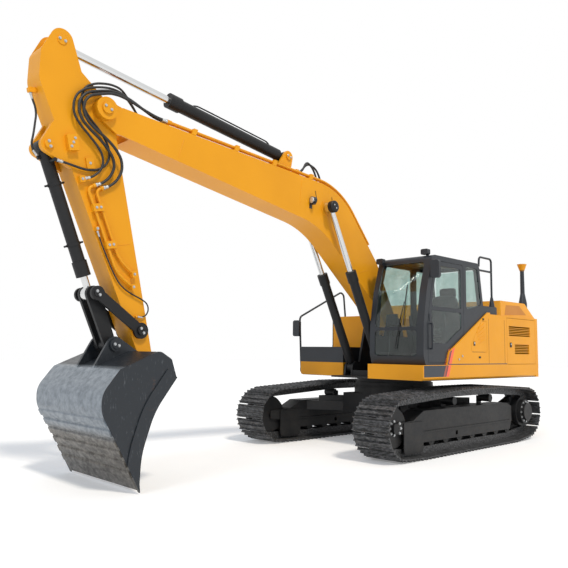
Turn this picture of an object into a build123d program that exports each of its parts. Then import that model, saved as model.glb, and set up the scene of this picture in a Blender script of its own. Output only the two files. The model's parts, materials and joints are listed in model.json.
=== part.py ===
# Crawler excavator of the 22 tonne class, 5.7 m boom, 2.9 m arm and a straight lipped bucket.
# Millimetres. +X is forward, +Y is left, +Z is up, and the ground is at Z = 0.
# The machine stands as it parks: boom half up, arm tucked in, the bucket's lip at the ground.
# The origin is under the middle of the whole machine, so the slewing axis lies at slew_x.

import os
from math import acos, atan2, cos, degrees, hypot, pi, radians, sin, sqrt, tan

from build123d import *

os.makedirs("parts", exist_ok=True)

# Tracks and undercarriage
track_gauge = 2390
shoe_width = 600
chain_pitch_wanted = 190
idler_x = 1785
idler_z = 440
idler_pin_radius = 330
sprocket_x = -1855
sprocket_z = 470
sprocket_pin_radius = 322
roller_count = 8
front_roller_x = 1290
rear_roller_x = -1361
roller_radius = 78
carrier_xs = (250, -850)
carrier_z = 735
carrier_radius = 65
pin_to_rail = 50
pin_to_shoe = 55
shoe_thickness = 10
lug_height = 28
rail_inner = 60
rail_outer = 95
track_running_gap = 0.5
ground_bow = 2
frame_half_width = 140
frame_plate = 16
frame_bottom = 335
frame_top = 640
frame_lip_bottom = 205
final_drive_out = 259
drive_inner = frame_half_width - frame_plate
guard_rear = 1180
guard_front = 1640
guard_bottom = 80
guard_top = 500
seat_gap = 0.3

# Slewing ring and deck
slew_radius = 640
slew_bore = 500
car_body_bottom = 460
car_body_top = 880
ring_split = 965
ring_gap = 0.3
deck_bottom = 1050
deck_plate = 25
skirt_top = 1275
body_half_width = 1366
skirt_plate = 26
cab_deck_front = 1190
tool_deck_front = 850
tail_front = -2400
tail_side = 101.3
tail_radius = hypot(tail_side - tail_front, body_half_width)

# Boom
boom_foot_x = 325
boom_foot_z = 1885
boom_length = 5707
boom_rest_angle = 22.52
boom_half_width = 195
boom_wall = 14
boom_boss_radius = 150
boom_crown_along = 1980
boom_crown_up = 1372
boom_nose_along = 5560
boom_nose_up = 150
fork_inner = 165
fork_outer = 261
fork_reach = 400
bracket_inner = 202
bracket_plate = 40

# Arm
arm_length = 2910
arm_rest_angle = -103.05
arm_half_width = 150
arm_wall = 14
arm_boss_half = 160
head_pin_back = -735
head_pin_out = 345
rocker_back = 430

# Bucket and its links
bucket_half_width = 750
bucket_skin = 28
bucket_side = 30
bucket_link_radius = 489
bucket_link_angle = 31.4
rocker_length = 669
bucket_link_length = 595
ear_inner = 168
ear_plate = 36
ear_boss_out = 232

# Pins and cylinders
pin_fit = 0.05
boom_pin = 50
arm_pin = 45
cylinder_pin = 45
boom_cylinder_y = 290
boom_cylinder_foot_x = 750
boom_cylinder_foot_z = 1200
boom_rod_along = 2155
boom_rod_up = 936
arm_cylinder_along = 3050
arm_cylinder_lift = 263.2
bucket_cylinder_along = 378
bucket_cylinder_out = 690
side_clearance = 5

# Cab
cab_inner = 380
cab_inset = 27
cab_outer = body_half_width - cab_inset
cab_floor = skirt_top
cab_roof = 2893
cab_wall = 45
door_gap = 6

# Step box on the right
tool_inner = 400
tool_box_top = 1530
tool_box_rear = 0

# House behind the cab
house_top = 2090
hood_top = 2365
house_front = -760
rear_bay_front = -1285
door_thickness = 30
hinge_length = 80
bay_hinges = (1400, 1860)
cab_hinges = (1850, 2560)

# Discs that shape the arm's head and its beam, as rows of along, out and radius
arm_head = [
    (head_pin_back, head_pin_out, 125),
    (-560, 490, 120),
    (-310, 420, 250),
]
arm_beam = [
    (-310, 420, 250),
    (0, 0, 115),
    (arm_length - 50, -40, 75),
]


def turned(along, up, angle):
    """Forward and up of a local point on a plane whose x leans by angle."""
    c, s = cos(radians(angle)), sin(radians(angle))
    return along * c - up * s, along * s + up * c


# The slewing axis is set back so that the whole machine is centred on the origin.
boom_reach = boom_foot_x + turned(boom_length, 0, boom_rest_angle)[0]
head_reach = max(turned(along, out, arm_rest_angle)[0] + radius for along, out, radius in arm_head)
slew_x = -(boom_reach + head_reach - tail_radius) / 2


def side(y):
    """Plane seen from the right: local x is forward, local y is up, normal to the right."""
    return Plane(origin=(slew_x, y, 0), x_dir=(1, 0, 0), z_dir=(0, -1, 0))


def level(z):
    """Level plane whose origin is on the slewing axis."""
    return Plane(origin=(slew_x, 0, z))


def front(x):
    """Cross plane facing forward: local x is to the left, local y is up."""
    return Plane(origin=(slew_x + x, 0, 0), x_dir=(0, 1, 0), z_dir=(1, 0, 0))


def tilted(x, z, angle, y=0):
    """Side plane whose local x points along angle, with its origin at x and z."""
    return Plane(
        origin=(slew_x + x, y, z),
        x_dir=(cos(radians(angle)), 0, sin(radians(angle))),
        z_dir=(0, -1, 0),
    )


def machine(plane, along, up, y=0):
    """Machine position of a local point on a side plane, at width y."""
    spot = plane.from_local_coords(Vector(along, up, 0))
    return Vector(spot.X, y, spot.Z)


def polar(radius, angle):
    return radius * cos(radians(angle)), radius * sin(radians(angle))


def outline(rows, mode=Mode.ADD):
    """Closed face through rows of along, up and corner radius."""
    with BuildLine() as path:
        FilletPolyline(
            [(along, up) for along, up, radius in rows],
            radius=[radius for along, up, radius in rows],
            close=True,
        )
    make_face(path.edges(), mode=mode)


def hull(rows, mode=Mode.ADD):
    """Convex face round circles given as rows of along, up and radius."""
    with BuildSketch() as discs:
        for along, up, radius in rows:
            with Locations((along, up)):
                Circle(radius)
    make_hull(discs.edges(), mode=mode)


def slab(plane, rows, thickness, both=False, mode=Mode.ADD):
    """Plate with a filleted outline, its thickness along the plane's normal."""
    with BuildSketch(plane) as face:
        outline(rows)
    extrude(face.sketch, amount=thickness, both=both, mode=mode)


def hull_slab(plane, rows, thickness, both=False, mode=Mode.ADD):
    """Plate that is the hull of circles, its thickness along the plane's normal."""
    with BuildSketch(plane) as face:
        hull(rows)
    extrude(face.sketch, amount=thickness, both=both, mode=mode)


def box(x0, x1, y0, y1, z0, z1, mode=Mode.ADD):
    """Box between machine coordinates."""
    with BuildSketch(level(z0)) as face:
        with Locations(((x0 + x1) / 2, (y0 + y1) / 2)):
            Rectangle(x1 - x0, y1 - y0)
    extrude(face.sketch, amount=z1 - z0, mode=mode)


def round_bar(start, end, radius, bore=0, mode=Mode.ADD):
    """Round bar or tube between two points."""
    with BuildSketch(Plane(origin=start, z_dir=end - start)) as disc:
        Circle(radius)
        if bore:
            Circle(bore, mode=Mode.SUBTRACT)
    extrude(disc.sketch, amount=(end - start).length, mode=mode)


def cross_bar(centre, y0, y1, radius, mode=Mode.ADD):
    """Round bar along Y through the X and Z of centre."""
    round_bar(Vector(centre.X, y0, centre.Z), Vector(centre.X, y1, centre.Z), radius, 0, mode)


# Track chain path: a belt round the rollers, idler and sprocket, on the line of its pins
pin_over_roller = roller_radius + pin_to_rail
roller_z = pin_over_roller + pin_to_shoe + shoe_thickness + lug_height
belt = [
    (rear_roller_x, roller_z, pin_over_roller),
    (front_roller_x, roller_z, pin_over_roller),
    (idler_x, idler_z, idler_pin_radius),
    (carrier_xs[0], carrier_z, carrier_radius + pin_to_rail),
    (carrier_xs[1], carrier_z, carrier_radius + pin_to_rail),
    (sprocket_x, sprocket_z, sprocket_pin_radius),
]


def belt_runs(wheels):
    """Straight runs of a belt round wheels, each as start, end and outward angle."""
    runs = []
    for (x0, z0, r0), (x1, z1, r1) in zip(wheels, wheels[1:] + wheels[:1]):
        span = hypot(x1 - x0, z1 - z0)
        heading = atan2(z1 - z0, x1 - x0)
        outward = heading - acos((r0 - r1) / span)
        c, s = cos(outward), sin(outward)
        runs.append(((x0 + r0 * c, z0 + r0 * s), (x1 + r1 * c, z1 + r1 * s), outward))
    return runs


def belt_length(wheels):
    runs = belt_runs(wheels)
    total = sum(hypot(b[0] - a[0], b[1] - a[1]) for a, b, out in runs)
    for (x, z, r), before, after in zip(wheels, runs[-1:] + runs[:-1], runs):
        total += r * ((after[2] - before[2]) % (2 * pi))
    return total


def belt_point(wheels, distance):
    """Position and outward angle at a distance along the belt."""
    runs = belt_runs(wheels)
    for index, (a, b, out) in enumerate(runs):
        span = hypot(b[0] - a[0], b[1] - a[1])
        if distance <= span:
            part = distance / span
            return a[0] + part * (b[0] - a[0]), a[1] + part * (b[1] - a[1]), out
        distance -= span
        x, z, r = wheels[(index + 1) % len(wheels)]
        turn = (runs[(index + 1) % len(runs)][2] - out) % (2 * pi)
        if distance <= r * turn:
            angle = out + distance / r
            return x + r * cos(angle), z + r * sin(angle), angle
        distance -= r * turn
    return runs[0][0][0], runs[0][0][1], runs[0][2]


chain_length = belt_length(belt)
shoe_count = round(chain_length / chain_pitch_wanted)
chain_pitch = chain_length / shoe_count


def bow_at(x):
    """Rise of the ground run at x: none at its two ends, ground_bow in the middle."""
    half = (front_roller_x - rear_roller_x) / 2
    share = (x - (front_roller_x + rear_roller_x) / 2) / half
    return ground_bow * max(0, 1 - share**2)


def pin_at(distance):
    """Position and outward angle of a chain pin; the ground run is bowed."""
    x, z, out = belt_point(belt, distance)
    if z < idler_z - idler_pin_radius:
        z += bow_at(x)
    return x, z, out


pins = [pin_at(index * chain_pitch) for index in range(shoe_count)]


def ring_at(height):
    """Loop through every pin of the chain, moved outward by height."""
    return [(x + height * cos(out), z + height * sin(out)) for x, z, out in pins]


# One shoe in profile: rows of distance from its first pin and height over the pins
shoe_top = pin_to_shoe + shoe_thickness
lug_top = shoe_top + lug_height
shoe_edge = 5
lug_tip = 6
lug_foot = 16
shoe_profile = [
    (shoe_edge, pin_to_shoe + 1),
    (shoe_edge + lug_tip, lug_top),
    (shoe_edge + lug_tip + lug_foot, shoe_top),
    (chain_pitch / 2 - lug_foot, shoe_top),
    (chain_pitch / 2 - lug_tip, lug_top),
    (chain_pitch / 2 + lug_tip, lug_top),
    (chain_pitch / 2 + lug_foot, shoe_top),
    (chain_pitch - shoe_edge - lug_tip - lug_foot, shoe_top),
    (chain_pitch - shoe_edge - lug_tip, lug_top),
    (chain_pitch - shoe_edge, pin_to_shoe + 1),
]


def shoe_loop():
    """Outer loop of the track, shoe by shoe."""
    loop = []
    for (x0, z0, out0), (x1, z1, out1) in zip(pins, pins[1:] + pins[:1]):
        span = hypot(x1 - x0, z1 - z0)
        tx, tz = (x1 - x0) / span, (z1 - z0) / span
        for along, height in shoe_profile:
            loop.append((x0 + tx * along + tz * height, z0 + tz * along - tx * height))
    return loop


def polygon(points, mode=Mode.ADD):
    with BuildLine() as path:
        Polyline(points, close=True)
    make_face(path.edges(), mode=mode)


# The triple grouser shoes and the two link rails under them, one loop on each side
def track_loop(centre_y):
    with BuildSketch(side(centre_y)) as band:
        polygon(shoe_loop())
        polygon(ring_at(pin_to_shoe), Mode.SUBTRACT)
    extrude(band.sketch, amount=shoe_width / 2, both=True)
    for offset in (rail_inner, -rail_outer):
        with BuildSketch(side(centre_y + offset + rail_outer - rail_inner)) as rail:
            polygon(ring_at(pin_to_shoe))
            polygon(ring_at(track_running_gap - pin_to_rail), Mode.SUBTRACT)
        extrude(rail.sketch, amount=rail_outer - rail_inner)


with BuildPart() as track_left:
    track_loop(track_gauge / 2)
track_left.part.label = "track_left"
export_step(track_left.part, "parts/track_left.step")

with BuildPart() as track_right:
    track_loop(-track_gauge / 2)
track_right.part.label = "track_right"
export_step(track_right.part, "parts/track_right.step")


# Track frames: an inverted channel over the rollers, with a yoke for the idler
yoke_tip = idler_x + 60
frame_front = 1400
frame_rear = -1480
frame_flange = 22
drain_x = 270
drain_z = 275
drain_half = 30


def track_frame(centre_y):
    slab(
        side(centre_y),
        [
            (frame_rear, frame_bottom, 0),
            (frame_front, frame_bottom, 0),
            (frame_front, frame_top - 120, 0),
            (frame_front - 260, frame_top, 0),
            (frame_rear + 160, frame_top, 0),
            (frame_rear, frame_top - 60, 0),
        ],
        frame_half_width,
        both=True,
    )
    for edge in (frame_half_width, -frame_half_width + frame_plate):
        slab(
            side(centre_y + edge),
            [
                (rear_roller_x - 100, frame_bottom, 0),
                (rear_roller_x - 60, frame_lip_bottom, 0),
                (front_roller_x + 60, frame_lip_bottom, 0),
                (front_roller_x + 100, frame_bottom, 0),
            ],
            frame_plate,
        )
        slab(
            side(centre_y + edge),
            [
                (frame_front - 20, frame_bottom, 0),
                (yoke_tip, idler_z - 70, 40),
                (yoke_tip, idler_z + 60, 40),
                (frame_front - 20, frame_top - 120, 0),
            ],
            frame_plate,
        )
    for edge in (frame_half_width + frame_plate, -frame_half_width):
        slab(
            side(centre_y + edge),
            [
                (guard_rear, guard_bottom, 60),
                (guard_front, guard_bottom, 60),
                (guard_front, guard_top, 0),
                (guard_rear, guard_top, 0),
            ],
            frame_plate,
        )
        slab(
            side(centre_y + edge),
            [
                (frame_rear + 60, frame_bottom, 0),
                (guard_rear, frame_bottom, 0),
                (guard_rear, frame_bottom + frame_flange, 0),
                (frame_rear + 60, frame_bottom + frame_flange, 0),
            ],
            frame_plate,
        )
    box(
        drain_x - drain_half,
        drain_x + drain_half,
        centre_y - frame_half_width - 1,
        centre_y + frame_half_width + 1,
        drain_z - drain_half,
        drain_z + drain_half,
        mode=Mode.SUBTRACT,
    )


def motor_bracket(hand):
    """Plate on the inner side of a track frame that carries its final drive."""
    outer_y = hand * (track_gauge / 2 - drive_inner - seat_gap)
    hull_slab(
        side(outer_y if hand > 0 else outer_y + frame_plate),
        [
            (sprocket_x, sprocket_z, 235),
            (frame_rear + 80, frame_top - 130, 60),
            (frame_rear + 80, frame_bottom + 60, 60),
        ],
        frame_plate,
    )


with BuildPart() as track_frame_left:
    track_frame(track_gauge / 2)
    motor_bracket(1)
track_frame_left.part.label = "track_frame_left"
export_step(track_frame_left.part, "parts/track_frame_left.step")

with BuildPart() as track_frame_right:
    track_frame(-track_gauge / 2)
    motor_bracket(-1)
track_frame_right.part.label = "track_frame_right"
export_step(track_frame_right.part, "parts/track_frame_right.step")

# Idlers: a rim that the rails run on, a guide flange between them and an axle
idler_rim = sqrt(idler_pin_radius**2 - (chain_pitch / 2) ** 2) - pin_to_rail
axle_half = frame_half_width - frame_plate
with BuildPart() as idlers:
    for centre_y in (track_gauge / 2, -track_gauge / 2):
        with BuildSketch(side(centre_y)) as wheel:
            with Locations((idler_x, idler_z)):
                Circle(idler_rim)
        extrude(wheel.sketch, amount=rail_outer, both=True)
        with BuildSketch(side(centre_y)) as flange:
            with Locations((idler_x, idler_z)):
                Circle(idler_rim + 22)
        extrude(flange.sketch, amount=rail_inner - 4, both=True)
        with BuildSketch(side(centre_y)) as axle:
            with Locations((idler_x, idler_z)):
                Circle(55)
        extrude(axle.sketch, amount=axle_half, both=True)
idlers.part.label = "idlers"
export_step(idlers.part, "parts/idlers.step")

# Sprockets and final drives
tooth_count = 21
tooth_root = sprocket_pin_radius - 38
tooth_tip = sprocket_pin_radius + 16
sprocket_half = 40
drive_steps = [
    # radius, inner side from the track's middle, outer side
    (250, -drive_inner, -sprocket_half),
    (245, sprocket_half, 150),
    (200, 150, 215),
    (150, 215, final_drive_out),
]
with BuildPart() as sprockets:
    for hand in (1, -1):
        centre_y = hand * track_gauge / 2
        teeth = []
        for index in range(tooth_count):
            for share, radius in ((0, tooth_root), (0.22, tooth_root), (0.42, tooth_tip), (0.8, tooth_tip)):
                along, up = polar(radius, (index + share) * 360 / tooth_count)
                teeth.append((sprocket_x + along, sprocket_z + up))
        with BuildSketch(side(centre_y)) as wheel:
            polygon(teeth)
        extrude(wheel.sketch, amount=sprocket_half, both=True)
        for radius, inner, outer in drive_steps:
            with BuildSketch(side(centre_y + hand * inner)) as step:
                with Locations((sprocket_x, sprocket_z)):
                    Circle(radius)
            extrude(step.sketch, amount=-hand * (outer - inner))
sprockets.part.label = "sprockets"
export_step(sprockets.part, "parts/sprockets.step")

# Track rollers under the frame and carrier rollers on it
roller_half = 115
roller_step = (front_roller_x - rear_roller_x) / (roller_count - 1)
roller_tread = roller_radius
with BuildPart() as track_rollers:
    for centre_y in (track_gauge / 2, -track_gauge / 2):
        for index in range(roller_count):
            roller_x = rear_roller_x + index * roller_step
            with BuildSketch(side(centre_y)) as roller:
                with Locations((roller_x, roller_z + bow_at(roller_x))):
                    Circle(roller_tread)
            extrude(roller.sketch, amount=roller_half, both=True)
            with BuildSketch(side(centre_y)) as axle:
                with Locations((roller_x, roller_z + bow_at(roller_x))):
                    Circle(34)
            extrude(axle.sketch, amount=axle_half, both=True)
track_rollers.part.label = "track_rollers"
export_step(track_rollers.part, "parts/track_rollers.step")

carrier_post = 60
chain_sag = 4
with BuildPart() as carrier_rollers:
    for hand in (1, -1):
        centre_y = hand * track_gauge / 2
        for carrier_x in carrier_xs:
            with BuildSketch(side(centre_y)) as roller:
                with Locations((carrier_x, carrier_z)):
                    Circle(carrier_radius - chain_sag)
            extrude(roller.sketch, amount=rail_outer + 5, both=True)
            inner = centre_y - hand * (rail_outer + 5)
            post = centre_y - hand * (rail_outer + 30)
            low_y, high_y = sorted((inner, post))
            box(
                carrier_x - carrier_post,
                carrier_x + carrier_post,
                low_y,
                high_y,
                frame_top,
                carrier_z + 30,
            )
carrier_rollers.part.label = "carrier_rollers"
export_step(carrier_rollers.part, "parts/carrier_rollers.step")

# Car body: the centre box, its four legs and the seat of the slewing ring
leg_inner_x = 380
leg_outer_x = 820
leg_half = 190
frame_inner_y = track_gauge / 2 - frame_half_width
with BuildPart() as car_body:
    box(-650, 650, -560, 560, car_body_bottom, car_body_top - 100)
    for way in (1, -1):
        for hand in (1, -1):
            slab(
                level(car_body_bottom + 20),
                [
                    (way * (leg_inner_x - leg_half), hand * 500, 0),
                    (way * (leg_inner_x + leg_half), hand * 500, 0),
                    (way * (leg_outer_x + leg_half), hand * frame_inner_y, 0),
                    (way * (leg_outer_x - leg_half), hand * frame_inner_y, 0),
                ],
                150,
            )
            slab(
                level(car_body_bottom + 170),
                [
                    (way * (leg_inner_x - leg_half + 60), hand * 500, 0),
                    (way * (leg_inner_x + leg_half - 60), hand * 500, 0),
                    (way * (leg_outer_x + leg_half - 120), hand * (frame_inner_y - 160), 0),
                    (way * (leg_outer_x - leg_half + 20), hand * (frame_inner_y - 160), 0),
                ],
                90,
            )
    with BuildSketch(level(car_body_top - 100)) as seat:
        Circle(slew_radius + 20)
    extrude(seat.sketch, amount=100)
    with BuildSketch(level(car_body_bottom)) as bore:
        Circle(slew_bore - 180)
    extrude(bore.sketch, amount=car_body_top - car_body_bottom, mode=Mode.SUBTRACT)
car_body.part.label = "car_body"
export_step(car_body.part, "parts/car_body.step")

# Outer ring of the slewing bearing, with its flange, bolted on the car body
bearing_flange = 22
with BuildPart() as swing_bearing:
    for radius, low_z, high_z in (
        (slew_radius + 14, car_body_top + seat_gap, car_body_top + seat_gap + bearing_flange),
        (slew_radius, car_body_top + seat_gap, ring_split),
    ):
        with BuildSketch(level(low_z)) as ring:
            Circle(radius)
            Circle(slew_bore, mode=Mode.SUBTRACT)
        extrude(ring.sketch, amount=high_z - low_z)
swing_bearing.part.label = "swing_bearing"
export_step(swing_bearing.part, "parts/swing_bearing.step")

# Boom and arm planes, and the places of the pins
boom_line = tilted(boom_foot_x, boom_foot_z, boom_rest_angle)
boom_foot = machine(boom_line, 0, 0)
boom_tip = machine(boom_line, boom_length, 0)
arm_line = tilted(boom_tip.X - slew_x, boom_tip.Z, arm_rest_angle)
bucket_pin_at = machine(arm_line, arm_length, 0)
rocker_pin_at = machine(arm_line, arm_length - rocker_back, 0)
bucket_line = tilted(bucket_pin_at.X - slew_x, bucket_pin_at.Z, 0)
ear_along, ear_up = polar(bucket_link_radius, bucket_link_angle)
ear_pin_at = machine(bucket_line, ear_along, ear_up)
boom_rod_at = machine(boom_line, boom_rod_along, boom_rod_up)
boom_slope = (boom_nose_up - boom_crown_up) / (boom_nose_along - boom_crown_along)


def boom_top_at(along):
    """Height of the boom's straight top plate over the chord."""
    return boom_crown_up + boom_slope * (along - boom_crown_along)


arm_cylinder_up = boom_top_at(arm_cylinder_along) + arm_cylinder_lift
arm_cylinder_at = machine(boom_line, arm_cylinder_along, arm_cylinder_up)
arm_rod_at = machine(arm_line, head_pin_back, head_pin_out)
bucket_cylinder_at = machine(arm_line, bucket_cylinder_along, bucket_cylinder_out)
boom_cylinder_foot = Vector(slew_x + boom_cylinder_foot_x, 0, boom_cylinder_foot_z)


def meeting(start, start_radius, end, end_radius):
    """Point at given distances from two pins, on the outer side of the line between them."""
    span = (end - start).length
    along = (span**2 + start_radius**2 - end_radius**2) / (2 * span)
    out = sqrt(start_radius**2 - along**2)
    way = (end - start).normalized()
    return Vector(
        start.X + way.X * along - way.Z * out,
        0,
        start.Z + way.Z * along + way.X * out,
    )


link_pin_at = meeting(rocker_pin_at, rocker_length, ear_pin_at, bucket_link_length)

# Upper frame: deck, boom brackets and the feet of the boom cylinders
bracket_outer = bracket_inner + bracket_plate
foot_lug_radius = 95
foot_lug_inner = bracket_outer + 96
foot_lug_outer = foot_lug_inner + 32
deck_half = body_half_width - skirt_plate
with BuildPart() as upper_frame:
    slab(
        level(deck_bottom),
        [
            (tail_front, -deck_half, 0),
            (tool_deck_front - skirt_plate, -deck_half, 0),
            (tool_deck_front - skirt_plate, -tool_inner, 0),
            (cab_deck_front - skirt_plate, -tool_inner, 40),
            (cab_deck_front - skirt_plate, deck_half, 0),
            (tail_front, deck_half, 0),
        ],
        deck_plate,
    )
    with BuildSketch(level(ring_split + ring_gap)) as ring:
        Circle(slew_radius - 25)
        Circle(slew_bore - 20, mode=Mode.SUBTRACT)
    extrude(ring.sketch, amount=deck_bottom - ring_split - ring_gap)
    for hand in (1, -1):
        edge = bracket_outer if hand > 0 else -bracket_inner
        slab(
            side(edge),
            [
                (boom_cylinder_foot_x + foot_lug_radius, deck_bottom, 0),
                (boom_cylinder_foot_x + foot_lug_radius, boom_cylinder_foot_z + foot_lug_radius, 100),
                (boom_cylinder_foot_x - foot_lug_radius, boom_cylinder_foot_z + foot_lug_radius, 0),
                (boom_foot_x + 200, boom_foot_z - 60, 60),
                (boom_foot_x + 130, boom_foot_z + 150, 130),
                (boom_foot_x - 150, boom_foot_z + 150, 130),
                (boom_foot_x - 300, boom_foot_z - 250, 200),
                (-1150, deck_bottom + 260, 0),
                (-1150, deck_bottom, 0),
            ],
            bracket_plate,
        )
        lug_edge = foot_lug_outer if hand > 0 else -foot_lug_inner
        hull_slab(
            side(lug_edge),
            [
                (boom_cylinder_foot_x, boom_cylinder_foot_z, foot_lug_radius),
                (boom_cylinder_foot_x - 160, deck_bottom + 30, 30),
                (boom_cylinder_foot_x + 90, deck_bottom + 30, 30),
            ],
            foot_lug_outer - foot_lug_inner,
        )
        cross_bar(
            boom_cylinder_foot,
            hand * bracket_inner,
            hand * foot_lug_outer,
            cylinder_pin,
        )
    cross_bar(boom_foot, -bracket_outer - 20, bracket_outer + 20, boom_pin)
    box(-700, -660, -bracket_inner, bracket_inner, deck_bottom, deck_bottom + 450)
    box(
        boom_cylinder_foot_x + 60,
        boom_cylinder_foot_x + 90,
        -bracket_inner,
        bracket_inner,
        deck_bottom,
        boom_cylinder_foot_z - 40,
    )
upper_frame.part.label = "upper_frame"
export_step(upper_frame.part, "parts/upper_frame.step")

# Skirts round the deck, yellow, with a bevelled lower edge
skirt_bevel = 30
with BuildPart() as skirt_left:
    slab(
        front(cab_deck_front),
        [
            (cab_inner, deck_bottom + 5, 0),
            (body_half_width - skirt_bevel, deck_bottom + 5, 0),
            (body_half_width, deck_bottom + 5 + skirt_bevel, 0),
            (body_half_width, skirt_top, 0),
            (cab_inner, skirt_top, 0),
        ],
        -(cab_deck_front - tail_front),
    )
    box(
        tail_front - 10,
        cab_deck_front - skirt_plate,
        cab_inner - 10,
        body_half_width - skirt_plate,
        deck_bottom,
        skirt_top - skirt_plate,
        mode=Mode.SUBTRACT,
    )
    box(
        tail_front - 10,
        -700,
        cab_inner - 10,
        body_half_width - skirt_plate,
        deck_bottom,
        skirt_top + 1,
        mode=Mode.SUBTRACT,
    )
skirt_left.part.label = "skirt_left"
export_step(skirt_left.part, "parts/skirt_left.step")

with BuildPart() as skirt_right:
    slab(
        front(tool_deck_front),
        [
            (-tool_inner, deck_bottom + 5, 0),
            (-body_half_width + skirt_bevel, deck_bottom + 5, 0),
            (-body_half_width, deck_bottom + 5 + skirt_bevel, 0),
            (-body_half_width, skirt_top, 0),
            (-tool_inner, skirt_top, 0),
        ],
        -(tool_deck_front - tail_front),
    )
    box(
        tail_front - 10,
        tool_deck_front - skirt_plate,
        -body_half_width + skirt_plate,
        -tool_inner + 10,
        deck_bottom,
        skirt_top - skirt_plate,
        mode=Mode.SUBTRACT,
    )
    box(
        tail_front - 10,
        tool_box_rear,
        -body_half_width + skirt_plate,
        -tool_inner + 10,
        deck_bottom,
        skirt_top + 1,
        mode=Mode.SUBTRACT,
    )
skirt_right.part.label = "skirt_right"
export_step(skirt_right.part, "parts/skirt_right.step")

# Step box over the right skirt, open at the top under its lid
box_wall = 20
lid_thickness = 16
with BuildPart() as step_box:
    box(tool_box_rear, tool_deck_front, -body_half_width, -tool_inner, skirt_top, tool_box_top - lid_thickness)
    box(
        tool_box_rear + box_wall,
        tool_deck_front - box_wall,
        -body_half_width + box_wall,
        -tool_inner - box_wall,
        skirt_top + box_wall,
        tool_box_top,
        mode=Mode.SUBTRACT,
    )
step_box.part.label = "step_box"
export_step(step_box.part, "parts/step_box.step")

with BuildPart() as step_box_lid:
    box(
        tool_box_rear + door_gap,
        tool_deck_front,
        -body_half_width,
        -tool_inner,
        tool_box_top - lid_thickness + ring_gap,
        tool_box_top,
    )
step_box_lid.part.label = "step_box_lid"
export_step(step_box_lid.part, "parts/step_box_lid.step")

# Tanks behind the step box on the right
tank_front = -10
tank_rear = rear_bay_front + 5
with BuildPart() as tanks:
    slab(
        front(tank_front),
        [
            (-tool_inner, skirt_top, 0),
            (-body_half_width, skirt_top, 0),
            (-body_half_width, house_top, 90),
            (-tool_inner, house_top, 20),
        ],
        -(tank_front - tank_rear),
    )
tanks.part.label = "tanks"
export_step(tanks.part, "parts/tanks.step")

# Counterweight: follows the tail's sweep, bevelled below
with BuildPart() as counterweight:
    with BuildSketch(level(deck_bottom)) as tail:
        Circle(tail_radius)
        with Locations((tail_front - tail_radius, 0)):
            Rectangle(2 * tail_radius, 2 * body_half_width, mode=Mode.INTERSECT)
    extrude(tail.sketch, amount=house_top - deck_bottom)
    slab(
        side(0),
        [
            (-tail_radius - 50, deck_bottom - 5, 0),
            (-tail_radius + 260, deck_bottom - 5, 0),
            (-tail_radius - 50, deck_bottom + 320, 0),
        ],
        body_half_width + 10,
        both=True,
        mode=Mode.SUBTRACT,
    )
    for low_z in bay_hinges:
        for hand in (1, -1):
            low_y, high_y = sorted((hand * (body_half_width - 25), hand * (body_half_width - 3)))
            box(
                tail_front - 1,
                tail_front + ring_gap + door_gap - seat_gap,
                low_y,
                high_y,
                low_z,
                low_z + hinge_length,
            )
counterweight.part.label = "counterweight"
export_step(counterweight.part, "parts/counterweight.step")

# Machine house walls round the engine bay: outer skin with door openings on each side
panel = 24
rear_bay_rear = tail_front + ring_gap
quarter_front_top = -690
quarter_front_low = 500
hood_base = (tail_front - 70, rear_bay_front + 95, body_half_width - 30)
hood_crown = (tail_front + 70, rear_bay_front - 125, body_half_width - 151)
filter_rear = -632
filter_hinges = (1540, 1830)
filter_rows = [
    (filter_rear, 1477, 30),
    (-146, 1477, 40),
    (-146, 1580, 60),
    (-470, 1968, 60),
    (filter_rear, 1968, 30),
]
with BuildPart() as side_panels:
    # left quarter panel with its slanted front edge beside the cab
    slab(
        side(body_half_width),
        [
            (house_front, skirt_top, 0),
            (quarter_front_low + 60, skirt_top, 0),
            (quarter_front_low, skirt_top + 190, 0),
            (quarter_front_top, house_top + 25, 0),
            (house_front, house_top + 25, 0),
        ],
        panel,
    )
    with BuildSketch(side(body_half_width)) as doorway:
        outline(filter_rows)
        offset(amount=door_gap, kind=Kind.INTERSECTION)
    extrude(doorway.sketch, amount=panel, mode=Mode.SUBTRACT)
    box(rear_bay_front, house_front, body_half_width - panel, body_half_width, skirt_top, house_top)
    box(rear_bay_front - 40, rear_bay_front, body_half_width - 90, body_half_width, skirt_top, house_top)
    box(rear_bay_front - 40, rear_bay_front, -body_half_width, -body_half_width + 90, skirt_top, house_top)
    box(
        rear_bay_front - 40,
        rear_bay_front,
        -body_half_width + 90,
        body_half_width - 90,
        skirt_top - 200,
        house_top,
    )
    box(rear_bay_front, house_front, 300, body_half_width - panel, house_top - panel, house_top)
    for low_z in filter_hinges:
        box(
            filter_rear - door_gap - 1,
            filter_rear - seat_gap,
            body_half_width - panel + 2,
            body_half_width - 3,
            low_z,
            low_z + hinge_length,
        )
    for hand in (1, -1):
        low_y, high_y = sorted((hand * (hood_base[2] - 40), hand * (body_half_width - 2)))
        box(rear_bay_rear + 1, rear_bay_front - 40, low_y, high_y, house_top - 30, house_top)
side_panels.part.label = "side_panels"
export_step(side_panels.part, "parts/side_panels.step")

# Filter door in the left quarter panel
rib_height = 7
filter_ribs = [
    # rear and up, front and up
    (-560, 1925, -360, 1842),
    (-560, 1860, -335, 1775),
    (-560, 1795, -350, 1722),
    (-560, 1730, -375, 1672),
    (-560, 1668, -395, 1620),
]
with BuildPart() as filter_door:
    slab(side(body_half_width), filter_rows, panel)
    for rear, rear_z, fore, fore_z in filter_ribs:
        hull_slab(side(body_half_width), [(rear, rear_z, 12), (fore, fore_z, 6)], -rib_height)
filter_door.part.label = "filter_door"
export_step(filter_door.part, "parts/filter_door.step")

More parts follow.
